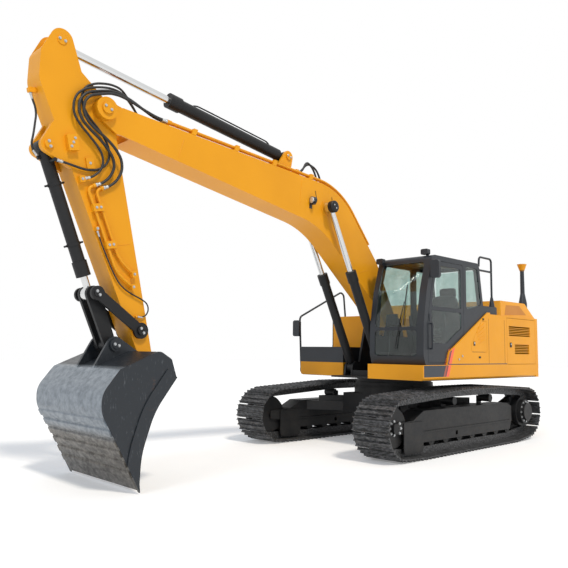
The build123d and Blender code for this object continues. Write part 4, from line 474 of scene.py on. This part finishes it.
# %% The bolt tree
bolt_tree = bpy.data.node_groups.new("hex_heads", "GeometryNodeTree")
bolt_inputs = {}
for label, kind in (("Points", "NodeSocketGeometry"), ("Head radius", "NodeSocketFloat"),
                    ("Head height", "NodeSocketFloat"), ("Finish", "NodeSocketMaterial")):
    bolt_inputs[label] = bolt_tree.interface.new_socket(label, in_out="INPUT", socket_type=kind).identifier
bolt_tree.interface.new_socket("Heads", in_out="OUTPUT", socket_type="NodeSocketGeometry")
points = add(bolt_tree, "NodeGroupInput", output="Points")
radius, height, finish = (points.node.outputs[label] for label in ("Head radius", "Head height", "Finish"))
wide = add(bolt_tree, MATH, {0: radius, 1: 1.3}, operation="MULTIPLY")
thin = add(bolt_tree, MATH, {0: height, 1: 0.45}, operation="MULTIPLY")
head = add(bolt_tree, "GeometryNodeMeshCylinder", {"Vertices": 6, "Radius": radius, "Depth": height})
washer = add(bolt_tree, "GeometryNodeMeshCylinder", {"Vertices": 12, "Radius": wide, "Depth": thin})
raised = add(bolt_tree, "ShaderNodeCombineXYZ", {"Z": thin})
lifted = add(bolt_tree, "GeometryNodeTransform", {"Geometry": head, "Translation": raised})
both = add(bolt_tree, "GeometryNodeJoinGeometry", {0: washer})
give(both.node, {0: lifted})
facing = add(bolt_tree, "GeometryNodeInputNamedAttribute", {"Name": "facing"}, data_type="FLOAT_VECTOR")
turning = add(bolt_tree, "FunctionNodeAlignRotationToVector", {"Vector": facing}, axis="Z")
placed = add(bolt_tree, "GeometryNodeInstanceOnPoints",
             {"Points": points, "Instance": both, "Rotation": turning})
real = add(bolt_tree, "GeometryNodeRealizeInstances", {0: placed})
dressed = add(bolt_tree, "GeometryNodeSetMaterial", {"Geometry": real, "Material": finish})
add(bolt_tree, "NodeGroupOutput", {0: dressed})
print("bolt tree nodes:", len(bolt_tree.nodes))

# %% Bolts by place
# One mesh of points goes through the tree, and its result is kept as a plain mesh.
def bolts(name, places, radius, height, finish, body):
    """Hex heads at places, each a point and the way that it faces; sizes in millimetres."""
    mesh = bpy.data.meshes.new(name + "_points")
    mesh.from_pydata([tuple(point) for point, _ in places], [], [])
    ways = mesh.attributes.new("facing", "FLOAT_VECTOR", "POINT")
    ways.data.foreach_set("vector", [c for _, way in places for c in way])
    holder = bpy.data.objects.new(name + "_points", mesh)
    modifier = holder.modifiers.new("heads", "NODES")
    modifier.node_group = bolt_tree
    modifier[bolt_inputs["Head radius"]] = radius / 1000
    modifier[bolt_inputs["Head height"]] = height / 1000
    modifier[bolt_inputs["Finish"]] = finish
    return place_mesh(name, evaluated(holder), finish, body)


print("bolts can be set")

# %% [markdown]
# ## Finishes of the small parts
# Plated steel stays bright after the paint has dulled, so bolts and hose ends sparkle at any distance.
# The side stripes are vinyl film: their colour is flat and their gloss is even.

# %% Small finishes
def plated(name):
    """Zinc plating: bright grey, clouded in small patches."""
    made, tree, shader, place = blank(name)
    cloud = add(tree, NOISE, {"Vector": place, "Scale": 1 / 14, "Detail": 3, "Roughness": 0.55})
    tone = add(tree, SPAN, {"Value": cloud, "From Min": 0.35, "From Max": 0.7})
    tone = add(tree, MIX, {0: tone, 6: "#C9CBCC", 7: "#A9ACAF"}, 2, data_type="RGBA")
    rough = add(tree, SPAN, {"Value": cloud, "From Min": 0.3, "From Max": 0.7, "To Min": 0.26, "To Max": 0.42})
    grain = add(tree, "ShaderNodeBump", {"Height": cloud, "Distance": 0.00005})
    give(shader, {"Base Color": tone, "Metallic": 0.9, "Roughness": rough, "Normal": grain})
    return made


def lens(name):
    """Lamp lens: clear moulded polycarbonate, ribbed, over a bright reflector."""
    made, tree, shader, place = blank(name)
    ribs = add(tree, "ShaderNodeTexWave", {"Vector": place, "Scale": 0.06}, "Fac",
               wave_type="BANDS", bands_direction="Z")
    tone = add(tree, MIX, {0: ribs, 6: "#DDE2E4", 7: "#AEB6BA"}, 2, data_type="RGBA")
    relief = add(tree, "ShaderNodeBump", {"Height": ribs, "Distance": 0.0006})
    give(shader, {"Base Color": tone, "Roughness": 0.12, "Metallic": 0.6, "Normal": relief})
    return made


finishes |= {
    # plated bolts and hose ends: points of light
    "zinc": plated("zinc_plated"),
    # vinyl of the side stripes, bright coral and a darker one beside it
    "coral": paint("vinyl_coral", "#F4694A", "#EE6244", 0.34, 0.2, "#B49B78", 1100, 0.15),
    "russet": paint("vinyl_russet", "#A85643", "#9C4F3D", 0.36, 0.2, "#B49B78", 1100, 0.15),
    # blank plate and film on the skirt: near-black blue
    "film_dark": paint("vinyl_dark", "#262C35", "#2B313A", 0.3, 0.3, "#77716A", 1100, 0.15),
    # joint between two yellow panels: a darker yellow painted as the shade that falls into the seam
    "joint_shade": paint("seam_painted_shade", "#A8680F", "#9C600D", 0.5, 0.0, "#B49B78", 1100, 0.2),
    # grip sheet on the hood's shoulder: tan and rough, without a highlight
    "grip": paint("sheet_grip", "#C98C4C", "#BD7F40", 0.75, 0.0, "#B49B78", 1100, 0.1),
    # lamp lenses: pale ribbed discs
    "lens": lens("polycarbonate_lens"),
}
print("small finishes:", len(finishes))

# %% [markdown]
# ## Hoses that cross a joint
# The hoses from the boom to the arm are held at both ends, so their shape is the solid model's.
# The solid can only follow one body. A welded copy of its mesh stands in for it, and rides on no body.

# %% Copied hoses
def copied(name, node_name):
    """A welded copy of a node's mesh, as a piece that stands for the node."""
    net = bmesh.new()
    net.from_mesh(frame["nodes"][node_name].data)
    made = piece(name, net, finishes["hose_rubber"], None, 60)
    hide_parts(node_name)
    return made


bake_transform(copied("hoses_boom_to_arm", "swing_hoses"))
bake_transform(copied("hose_bucket_cylinder", "bucket_hose"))

# %% [markdown]
# ## Hose ends
# A hose is crimped into a steel sleeve, and a hex nut joins the sleeve to its pipe.
# Each end is one turned shape, bright against the black hose.

# %% Ferrules
BOOM_UP = on_boom(0, 1000, 0) - on_boom(0, 0, 0)
BOOM_PIPE_END, BOOM_PIPE_LIFT = 4980, 0.052  # along the boom in millimetres, and above it in metres


def boom_pipe(along, y):
    """The middle of a pipe on the boom's top plate, at that place along it."""
    return seat("boom", on_boom(along, 900, y), -BOOM_UP)[0] + BOOM_UP * BOOM_PIPE_LIFT


def ferrule(net, end, towards, diameter):
    """A nut and a crimped sleeve over a hose's end."""
    nut, sleeve = diameter * 0.78, diameter * 0.64
    turned(net, end, towards - end,
           [(0, 0), (nut, 1), (nut, 20), (sleeve, 23), (sleeve, 38), (sleeve * 0.93, 41),
            (sleeve, 44), (sleeve, 60), (sleeve * 0.86, 66), (0, 66)], 20)


boom_ends = bmesh.new()
for y, diameter in ((168, 32), (128, 32), (-128, 26), (-168, 26)):
    ferrule(boom_ends, boom_pipe(BOOM_PIPE_END, y), boom_pipe(BOOM_PIPE_END + 100, y), diameter)
piece("hose_ends_boom", boom_ends, finishes["zinc"], "boom")

# each hose's end, a point further along the hose, and its diameter, in millimetres on the arm
ARM_HOSE_ENDS = {
    "arm": [((862, 175, 184), (845.5, 90, 184), 32), ((828, 262, 184), (808, 172, 184), 32),
            ((750, 374, 186), (741, 290, 190), 26), ((-193, 722, 0), (-120, 712, 0), 22),
            ((1318.8, 320, 175), (1480, 292, 175), 16), ((2319, 3.7, 172), (2337.5, -47, 175), 16)],
    "bucket_barrel": [((547.3, 645.7, 172), (573, 570, 176), 26), ((465.6, 764.4, 0), (405, 800, 0), 22)],
}
for name, body in (("hose_ends_arm", "arm"), ("hose_ends_bucket_cylinder", "bucket_barrel")):
    ends = bmesh.new()
    for end, back, diameter in ARM_HOSE_ENDS[body]:
        ferrule(ends, on_arm(*end), on_arm(*back), diameter)
    piece(name, ends, finishes["zinc"], body)
print("hose ends: 12")

# %% [markdown]
# ## Pin keepers and bolts
# A pin is held in its boss by a plate with two bolts, on both sides of the machine.
# The ray that finds the boss also tells which node, and so which body, each plate rides on.

# %% Pin keepers
def nearest(start, way, skip=()):
    """The first node that a ray meets: its point, the way it faces and its name."""
    best, shortest = None, math.inf
    for node_name in slots:
        found = None if node_name in skip else seat(node_name, start, way)
        if found and (found[0] - Vector(start)).length < shortest:
            best, shortest = (*found, node_name), (found[0] - Vector(start)).length
    return best


HOSES = ("swing_hoses", "bucket_hose", "arm_hose")
PIN_BOLT = 13  # the radius of a keeper's bolt heads in millimetres
KEEPER_FACE = 0.013  # the heads sit this far out from the boss, on the keeper
heads, plates = {}, {}


def head_at(start, way, size):
    """Notes a bolt head where a ray meets the machine, under the body that it meets."""
    found = nearest(start, way, HOSES)
    if found:
        heads.setdefault((body_of_node[found[2]], size), []).append((found[0], found[1]))


def keeper(x, z, radius, spread, tilt):
    """A round keeper with two bolts over a pin, on both sides."""
    for way, y in ((LEFT, 1.0), (RIGHT, -1.0)):
        found = nearest(at_slew(x, y, z), way, HOSES)
        if found is None:
            continue
        point, outwards, node_name = found
        body = body_of_node[node_name]
        net = plates.setdefault((body, slots[node_name]), bmesh.new())
        middle = at_slew(x, point.y, z)
        turned(net, middle - outwards * 0.001, outwards,
               [(0, 0), (radius, 0), (radius, 9), (radius - 3, 12), (0, 12)])
        for hand in (1, -1):
            place = middle + Vector((math.cos(tilt), 0, math.sin(tilt))) * (hand * spread / 1000)
            heads.setdefault((body, PIN_BOLT), []).append((place + outwards * KEEPER_FACE, outwards))


# each pin of the front: forward of the slewing centre and above the ground in metres,
# then its keeper's radius and bolt spread in millimetres, and the tilt of the bolts
PINS = {
    "arm_foot": (5.5968, 4.0708, 66, 38, 0.4),
    "arm_rod_eye": (6.0989, 4.7089, 54, 32, 0.2),
    "bucket_cylinder_foot": (6.1836, 3.5468, 48, 28, 1.2),
    "rocker_foot": (5.0368, 1.6549, 52, 30, 1.0),
    "bucket_foot": (4.9397, 1.2360, 50, 28, 0.7),
    "bucket_link_eye": (5.3571, 1.4907, 46, 26, 0.3),
    "rocker_top": (5.5830, 2.0412, 44, 25, 0.9),
    "arm_cylinder_foot": (2.6560, 4.2263, 50, 30, 0.3),
    "boom_rod_eye": (1.9572, 3.5750, 52, 30, 0.8),
}
for pin in PINS.values():
    keeper(*pin)

# %% [markdown]
# ### Bolt circles and clamp bolts
# The final drive and the idler's cover are held by circles of bolts, and each pipe clamp by two.
# Only the circle's middle and radius are given, and a ray sets each head down on the steel.

# %% Bolt circles and rows
# bolts, middle forward and up, radius of the circle: final drive, then idler cover
for count, x, z, radius in ((12, -1.855, 0.470, 0.165), (8, 1.785, 0.440, 0.090)):
    for k in range(count):
        angle = 2 * math.pi * k / count
        for way, y in ((LEFT, 2.2), (RIGHT, -2.2)):
            head_at(at_slew(x + radius * math.cos(angle), y, z + radius * math.sin(angle)), way, 15)
# the pipe clamps on the boom's top
for along in (2600, 3300, 3950, 4600):
    for y in (148, -148):
        for side in (-12, 12):
            head_at(on_boom(along + side, 1000, y), -BOOM_UP, 11)
# the pipe clamps and blocks on the arm's left side
for along, out in ((1070, 250), (1070, 300), (1485, 172), (1485, 222), (367, 443), (410, 470),
                   (324, 416), (756, 406), (1295, 322), (584, 266), (1842, -25), (1981, 12)):
    head_at(on_arm(along, out, 1000), LEFT, 12)
for (body, slot), net in plates.items():
    piece(f"pin_keepers_{body}_{slot}", net, finishes[slot], body)
for (body, size), places in heads.items():
    bolts(f"bolts_{body}_{size}", places, size, size * 0.9, finishes["zinc"], body)
print("bolt heads:", sum(len(p) for p in heads.values()))

# %% [markdown]
# ## Stripes, dark films and grip sheet
# The film lies on several plates: part of a stripe is on the cab, part on its door and part on the skirt.
# A grid of rays carries each film onto the steel, and the cells that meet another body become another piece,
# so the door takes its own part of the stripe along when it opens.

# %% A film laid by rays
STEP_MOST = 0.02  # a cell that spans a deeper step in metres is left out
FILM_SUNK = 0.0003  # a film's back lies this far inside the steel, in metres


def film_spots(corners, cells, node_names, way):
    """A grid of rays over a four-cornered field: each one's length, point, facing and node."""
    a, b, c, d = (Vector(p) for p in corners)
    spots = {}
    for i in range(cells[0] + 1):
        for j in range(cells[1] + 1):
            u, v = i / cells[0], j / cells[1]
            start = (a * (1 - u) + b * u) * (1 - v) + (d * (1 - u) + c * u) * v
            found = [(seat(n, start, way), n) for n in node_names]
            found = [((f[0] - start).length, f[0], f[1], n) for f, n in found if f]
            spots[i, j] = min(found, key=lambda f: f[0]) if found else None
    return spots


def film(name, corners, cells, node_names, way, finish, lift=1.0):
    """A film of lift millimetres on the nodes, over the four-cornered field in front of them."""
    spots = film_spots(corners, cells, node_names, way)
    nets = {}
    for i in range(cells[0]):
        for j in range(cells[1]):
            keys = ((i, j), (i + 1, j), (i + 1, j + 1), (i, j + 1))
            cell = [spots[key] for key in keys]
            if None in cell or len({spot[3] for spot in cell}) > 1:
                continue
            if max(spot[0] for spot in cell) - min(spot[0] for spot in cell) > STEP_MOST:
                continue
            net, known = nets.setdefault(body_of_node[cell[0][3]], (bmesh.new(), {}))
            for key, (_, point, facing, _) in zip(keys, cell):
                if key not in known:
                    known[key] = (net.verts.new(point - facing * FILM_SUNK),
                                  net.verts.new(point + facing * lift / 1000))
            net.faces.new([known[key][1] for key in keys])
            net.faces.new([known[key][0] for key in reversed(keys)])
    for body, (net, known) in nets.items():
        under = {front: back for back, front in known.values()}
        rim = [e for e in net.edges if e.is_boundary and e.verts[0] in under and e.verts[1] in under]
        for edge in rim:
            first, second = edge.verts
            net.faces.new([first, second, under[second], under[first]])
        piece(f"{name}_{body}", net, finish, body)


print("films can be laid")

# %% Stripes, films and seams
SIDE_NODES = ("cab_shell", "cab_door", "skirt_left", "side_panels")


def side_field(rows):
    """Corners given forward of the slewing centre and above the ground, held out to the left."""
    return [at_slew(x, 1.7, z) for x, z in rows]


film("film_corner", side_field([(0.400, 1.545), (0.640, 1.545), (0.740, 1.270), (0.500, 1.270)]),
     (16, 24), ("side_panels",), LEFT, finishes["film_dark"], 0.5)
film("stripe_bright", side_field([(0.340, 1.540), (0.415, 1.524), (0.596, 1.104), (0.519, 1.104)]),
     (6, 110), SIDE_NODES, LEFT, finishes["coral"])
film("stripe_dull", side_field([(0.440, 1.518), (0.490, 1.500), (0.672, 1.104), (0.618, 1.104)]),
     (5, 110), SIDE_NODES, LEFT, finishes["russet"])
film("film_skirt", side_field([(0.515, 1.268), (1.172, 1.268), (1.172, 1.104), (0.575, 1.104)]),
     (24, 8), ("skirt_left",), LEFT, finishes["film_dark"], 0.5)
# the hood's shoulder leans, so its rays come down at a slant
film("grip_sheet", [at_slew(-1.5456, 1.60, 2.4458), at_slew(-2.0607, 1.60, 2.4622),
                    at_slew(-2.1744, 1.67, 2.2984), at_slew(-1.3331, 1.69, 2.2652)],
     (16, 6), ("engine_hood",), (0, -0.92, -0.4), finishes["grip"], 2.0)
# a thin dark line of painted shade along the lower seam of the side panels
film("painted_shade_seam_skirt", side_field([(0.520, 1.292), (-2.300, 1.292), (-2.300, 1.279), (0.525, 1.279)]),
     (200, 1), ("side_panels",), LEFT, finishes["film_dark"], 1.2)
# two upright lines of painted shade, in darker yellow, over the seams between the side panels
for tag, x in (("front", -0.70), ("rear", -1.24)):
    fore, aft = x + 0.006, x - 0.006
    film(f"seam_panel_{tag}", side_field([(fore, 2.015), (aft, 2.015), (aft, 1.290), (fore, 1.290)]),
         (1, 60), ("side_panels",), LEFT, finishes["joint_shade"], 0.5)
print("films laid")

# %% [markdown]
# ## Latches and locks
# A side door shuts with a flush black latch, and a zinc lock barrel sits in it.
# Each is set where a ray from the left finds the door, and rides with that door when it opens.

# %% Latches and locks
# each latch: forward and up in metres, then its length, depth and height in millimetres
latches = {}
for x, z, size in ((-0.233, 1.603, (46, 10, 64)), (-1.454, 1.603, (60, 12, 80)),
                   (-0.5276, 2.0, (40, 12, 30)), (-0.397, 1.391, (60, 8, 30))):
    point, outwards, node_name = nearest(at_slew(x, 1.8, z), LEFT)
    net = latches.setdefault(body_of_node[node_name], bmesh.new())
    block(net, point + outwards * 0.003, size, 3.0)
for body, net in latches.items():
    piece(f"latches_{body}", net, finishes["black_paint"], body)
locks = {}
for x, z in ((-0.233, 1.612), (-1.454, 1.615), (0.231, 1.359), (0.133, 1.409)):
    point, outwards, node_name = nearest(at_slew(x, 1.8, z), LEFT)
    net = locks.setdefault(body_of_node[node_name], bmesh.new())
    turned(net, point + outwards * 0.004, outwards, [(0, 0), (17, 0), (17, 5), (14, 7), (0, 7)], 24)
for body, net in locks.items():
    piece(f"locks_{body}", net, finishes["zinc"], body)
print("latched bodies:", sorted(latches), "locked bodies:", sorted(locks))

# %% [markdown]
# ## Mast cup and lamp lens
# The mast behind the cab ends in a flared yellow cup over the black stem.
# Rays measure its profile on the solid mast, so that the cup fits it at every height.
# The work lamp's lens is a shallow turned dome.

# %% Mast cup and lamp lens
CUP_HEIGHT = 0.13
mast_low, mast_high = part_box("beacon_mast")
cup_x = (mast_low.x + mast_high.x) / 2
cup_y = (mast_low.y + mast_high.y) / 2
cup_profile = []
for drop in (CUP_HEIGHT, 0.11, 0.08, 0.05, 0.02, 0.001):
    found = seat("beacon_mast", (cup_x, cup_y + 1, mast_high.z - drop), LEFT)
    cup_profile.append((max(20.0, (found[0].y - cup_y) * 1000 + 1.5), (CUP_HEIGHT - drop) * 1000))
cup = bmesh.new()
turned(cup, Vector((cup_x, cup_y, mast_high.z - CUP_HEIGHT)), (0, 0, 1),
       [(0, 2)] + cup_profile + [(cup_profile[-1][0] - 4, 128.5), (0, 128.5)])
piece("mast_cup", cup, finishes["yellow_paint"], "upper")
print("mast cup radii:", [round(r) for r, _ in cup_profile])

LAMP_MIDDLE = 0.052  # from the lamp's top and from its outer side
lamp_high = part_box("work_lamp")[1]
work = bmesh.new()
turned(work, Vector((lamp_high.x - 0.001, lamp_high.y - LAMP_MIDDLE, lamp_high.z - LAMP_MIDDLE)),
       (1, 0, 0), [(0, 0), (44, 0), (44, 4), (36, 9), (0, 12)])
piece("lens_work_lamp", work, finishes["lens"], "boom")
print("lens made")

# %% [markdown]
# ## Wiper
# An arm parks upright along the windscreen's edge and holds a rubber blade against the glass.
# Both are round sections, and rays lay them a little in front of the pane, which leans.

# %% Wiper
def before_glass(y, z, gap):
    """A point a gap in metres in front of the windscreen."""
    return seat("cab_glass", at_slew(2.5, y, z), (-1, 0, 0))[0] + Vector((gap, 0, 0))


run("wiper_arm", [before_glass(y, z, 0.022) for y, z in ((0.86, 1.50), (0.90, 1.75), (0.94, 2.0), (0.98, 2.2))],
    14, finishes["black_paint"], "upper")
run("wiper_blade", [before_glass(0.99, z, 0.012) for z in (1.85, 2.0, 2.15, 2.3, 2.45)],
    16, finishes["hose_rubber"], "upper")
print("wiper made")

# %% [markdown]
# ## Wires, and caps over the boom's rod eyes
# Two thin lines leave the lamp and the grease port on the boom's side.
# Black caps cover the eyes of the boom's rods; rays find each eye's radius and its outer face.

# %% Wires and caps
run("wire_lamp", [on_boom(2383, 935, 212), on_boom(2396, 965, 205), on_boom(2420, 1000, 202),
                  on_boom(2455, 1050, 200)], 7, finishes["hose_rubber"], "boom", 6)
run("wire_grease_line", [on_boom(1985, 1010, 215), on_boom(2040, 1060, 206), on_boom(2080, 1110, 202),
                         on_boom(2105, 1160, 200)], 7, finishes["hose_rubber"], "boom", 6)
eye_x, eye_z = PINS["boom_rod_eye"][:2]
for tag, hand in (("left", 1), ("right", -1)):
    above = seat("boom_rods", at_slew(eye_x, hand * 0.29, 4.4), (0, 0, -1))[0]
    outer = seat("boom_rods", at_slew(eye_x, hand * 1.0, 3.62), (0, -hand, 0))[0]
    reach = (above.z - eye_z) * 1000 + 3
    cap = bmesh.new()
    turned(cap, at_slew(eye_x, outer.y - hand * 0.060, eye_z), (0, hand, 0),
           [(0, 0), (reach, 0), (reach, 66), (reach - 6, 74), (reach - 22, 82), (0, 84)])
    piece(f"rod_eye_cap_{tag}", cap, finishes["black_paint"], "boom_rods")
print("rod eye caps: 2, radius in mm:", round(reach))

# %% [markdown]
# ## Oil line on the arm's cylinder
# A steel line takes oil to the rod's end of the barrel and runs a thumb's width above it.
# It is routed by its distance along the stroke and its gap from the barrel.

# %% Oil line on the arm's cylinder
foot, eye = (at_slew(x, 0, z) for x, z in (PINS["arm_cylinder_foot"][:2], PINS["arm_rod_eye"][:2]))
stroke = (eye - foot).normalized()
off_stroke = Vector((-stroke.z, 0, stroke.x))
line = []
for along, gap in ((0.30, -0.004), (0.34, 0.030), (0.42, 0.034), (0.9, 0.034), (1.5, 0.034),
                   (1.62, 0.030), (1.66, -0.004)):
    found = seat("arm_barrel", foot + stroke * along + off_stroke * 0.6, -off_stroke)
    line.append(found[0] + off_stroke * gap)
run("line_arm_cylinder", line, 20, finishes["black_paint"], "arm_barrel", 8)
print("oil line laid")

# %% [markdown]
# ## Hoses over the boom's top
# Two short hoses leave a block on the boom's top, arch up and go down on its far side.
# A hose bends as a beam does, so a smooth curve through a few points has its shape.

# %% Hoses over the boom's top
manifold = bmesh.new()
footing = seat("boom", at_slew(2.47, 0.055, 4.9), (0, 0, -1))[0]
block(manifold, footing + Vector((0, 0, 0.055)), (60, 110, 120), 5)
piece("manifold_boom_top", manifold, finishes["yellow_paint"], "boom")
for tag, y, reach in (("near", 0.078, 0.0), ("far", 0.032, -0.14)):
    port = Vector((footing.x - 0.029, y, footing.z + 0.085))
    crimp = bmesh.new()
    ferrule(crimp, port, port - Vector((0.1, 0, 0)), 30)
    piece(f"hose_end_boom_top_{tag}", crimp, finishes["zinc"], "boom")
    run(f"hose_boom_top_{tag}",
        [port, port + Vector((-0.09, 0, 0.012)), at_slew(2.27 + reach / 2, y, 4.245),
         at_slew(2.16 + reach, y, 4.205), at_slew(2.07 + reach, y, 4.100),
         at_slew(2.03 + reach, y, 3.970), at_slew(2.03 + reach, y, 3.900)],
        30, finishes["hose_rubber"], "boom", 12)
print("block for the hoses stands at height", round(footing.z, 3))

# %% [markdown]
# ## Welds
# The boom and the arm are boxes of plate, and each butt joint in a side plate leaves a raised bead.

# %% Weld beads
def bead(name, rows, maker, body, node_name):
    """A bead along rows on both side plates."""
    for way, y, tag in ((LEFT, 900, "left"), (RIGHT, -900, "right")):
        found = [seat(node_name, maker(along, up, y), way) for along, up in rows]
        if all(found):
            run(f"{name}_{tag}", [f[0] for f in found], 9, finishes["yellow_paint"], body, 6)


bead("weld_boom_bend", [(2755, 1030), (2722, 920), (2690, 810), (2655, 700)], on_boom, "boom", "boom")
bead("weld_boom_nose", [(4700, 330), (4690, 250), (4680, 160), (4672, 90)], on_boom, "boom", "boom")
bead("weld_boom_foot", [(900, 560), (960, 510), (1020, 460), (1080, 410)], on_boom, "boom", "boom")
bead("weld_arm_middle", [(1500, 120), (1500, 60), (1500, 0), (1500, -60)], on_arm, "arm", "arm")
print("welds laid")

# %% [markdown]
# ## Seat
# The operator's seat shows as a dark shape behind the glass: a cushion, a back and a headrest.
# Each is a rounded box with a crown: every point of a divided cube is drawn in towards the corners,
# and the middle of the face is raised, with a sewn channel pressed in round it.
# Cloth simulation would pad them too, but behind tinted glass only the outline shows.

# %% Cushions
SQUARENESS = 5  # 2 would be a ball, and a very high number a plain box
CROWN = 0.10  # the middle of the face stands this share higher than its rim
CHANNEL = (0.72, 0.06, 0.07)  # where the channel runs, its width and its depth, as shares


def cushion(name, place, size, lean):
    """A crowned pad of size metres, leaned back by an angle, with a sewn channel round its face."""
    net = bmesh.new()
    bmesh.ops.create_cube(net, size=2.0)
    bmesh.ops.subdivide_edges(net, edges=net.edges[:], cuts=15, use_grid_fill=True)
    half = Vector(size) / 2
    where, wide, deep = CHANNEL
    for v in net.verts:
        x, y, z = v.co
        round_off = sum(abs(c) ** SQUARENESS for c in (x, y, z)) ** (1 / SQUARENESS)
        crown = (1 + CROWN * (1 - x * x) * (1 - y * y)) / (1 + CROWN)
        groove = 1 - deep * math.exp(-((max(abs(x), abs(y)) - where) / wide) ** 2)
        v.co = Vector((x * half.x, y * half.y, z * half.z * crown * groove)) / round_off
    tilt = Matrix.Rotation(math.radians(lean), 3, "Y")
    bmesh.ops.rotate(net, verts=net.verts, cent=(0, 0, 0), matrix=tilt)
    bmesh.ops.translate(net, vec=place, verts=net.verts)
    made = piece(name, net, finishes["seat_fabric"], "upper", 180)
    return made


SEAT_UNDERSIDE = 1.70
seat_low, seat_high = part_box("cab_seat")
seat_y = (seat_low.y + seat_high.y) / 2
base = cushion("seat_cushion", at_slew(-0.03, seat_y, 1.765), (0.58, 0.49, 0.125), 0)
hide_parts("cab_seat")
cushion("seat_back", at_slew(-0.24, seat_y, 2.08), (0.60, 0.47, 0.11), 100)
cushion("seat_headrest", at_slew(-0.31, seat_y, 2.43), (0.16, 0.28, 0.09), 96)
pedestal = bmesh.new()
block(pedestal, at_slew(0, seat_y, (seat_low.z + SEAT_UNDERSIDE) / 2),
      (300, 300, (SEAT_UNDERSIDE - seat_low.z) * 1000), 12)
piece("seat_pedestal", pedestal, finishes["black_paint"], "upper")
print("cushions: 3")

# %% [markdown]
# ## Floor, light and camera
# The photograph has a plain white ground, so the world is white wherever it is seen.
# A pale sky lights the machine from all round, one sun gives the edges their direction,
# and a weaker one opens the shadows on the front.

# %% Floor and sky
def stage():
    """A pale floor that keeps a soft shadow."""
    mesh = bpy.data.meshes.new("floor")
    made = bpy.data.objects.new("floor", mesh)
    scene.collection.objects.link(made)
    net = bmesh.new()
    bmesh.ops.create_grid(net, x_segments=2, y_segments=2, size=60)
    net.to_mesh(mesh)
    net.free()
    finish, tree, shader, place = blank("floor_pale")
    tone = add(tree, NOISE, {"Vector": place, "Scale": 1 / 700, "Detail": 3, "Roughness": 0.55})
    tone = add(tree, MIX, {0: tone, 6: "#F4F4F4", 7: "#FAFAFA"}, 2, data_type="RGBA")
    give(shader, {"Base Color": tone, "Roughness": 0.9, "Emission Color": "#FFFFFF", "Emission Strength": 0.2})
    mesh.materials.append(finish)


def sky():
    """White where it is seen, straight or in glass and gloss; a soft pale sky for the lighting."""
    world = bpy.data.worlds.new("sky")
    scene.world = world
    world.use_nodes = True
    tree = world.node_tree
    tree.nodes.clear()
    direct = add(tree, "ShaderNodeLightPath", output="Is Camera Ray")
    through, mirrored = (direct.node.outputs[ray] for ray in ("Is Transmission Ray", "Is Glossy Ray"))
    straight = add(tree, MATH, {0: direct, 1: through}, operation="MAXIMUM")
    seen = add(tree, MATH, {0: straight, 1: mirrored}, operation="MAXIMUM")
    light = add(tree, "ShaderNodeBackground", {"Color": "#DDE6F0", "Strength": 0.55})
    white = add(tree, "ShaderNodeBackground", {"Color": "#FFFFFF", "Strength": 1.0})
    both = add(tree, "ShaderNodeMixShader", {0: seen, 1: light, 2: white})
    add(tree, "ShaderNodeOutputWorld", {"Surface": both})


stage()
sky()
print("floor and sky made")

# %% Suns
def sun(name, azimuth, height, strength, spread, tint):
    """A sun that shines from that side and height, with its disc's spread, in degrees."""
    data = bpy.data.lights.new(name, "SUN")
    data.energy = strength
    data.angle = math.radians(spread)
    data.color = colour(tint)[:3]
    made = bpy.data.objects.new(name, data)
    around, above = math.radians(azimuth), math.radians(height)
    towards = Vector((math.cos(around) * math.cos(above), math.sin(around) * math.cos(above),
                      math.sin(above)))
    made.rotation_mode = "QUATERNION"
    made.rotation_quaternion = towards.to_track_quat("Z", "Y")
    scene.collection.objects.link(made)


sun("sun_key", 75, 52, 1.9, 8, "#FFF6E8")
sun("sun_front", 15, 30, 0.6, 20, "#EEF4FF")
print("suns made")

# %% [markdown]
# ### Camera
# The picture was taken from ahead of the machine and to its left, near eye height.
# Points that can be named on the machine fix the camera's place, its angles and its focal length.

# %% Camera
PICTURE_WIDTH = 568
SENSOR_WIDTH = 36


def camera(place, yaw, pitch, roll, focal):
    """A camera by its place and its angles in degrees; focal is in the picture's pixels."""
    yaw, pitch, roll = (math.radians(v) for v in (yaw, pitch, roll))
    ahead = Vector((math.cos(pitch) * math.cos(yaw), math.cos(pitch) * math.sin(yaw), math.sin(pitch)))
    right = Vector((math.sin(yaw), -math.cos(yaw), 0))
    up = right.cross(ahead)
    turned_right = right * math.cos(roll) + up * math.sin(roll)
    turned_up = up * math.cos(roll) - right * math.sin(roll)
    data = bpy.data.cameras.new("camera")
    data.sensor_width = SENSOR_WIDTH
    data.lens = focal / PICTURE_WIDTH * SENSOR_WIDTH
    data.clip_end = 300
    made = bpy.data.objects.new("camera", data)
    made.matrix_world = Matrix((turned_right, turned_up, -ahead)).transposed().to_4x4()
    made.location = place
    scene.collection.objects.link(made)
    scene.camera = made


camera((7.152, 6.442, 1.447), -134.25, 6.03, 0.76, 635.9)
scene.view_settings.view_transform = "Standard"
print("camera at", [round(v, 2) for v in scene.camera.location])
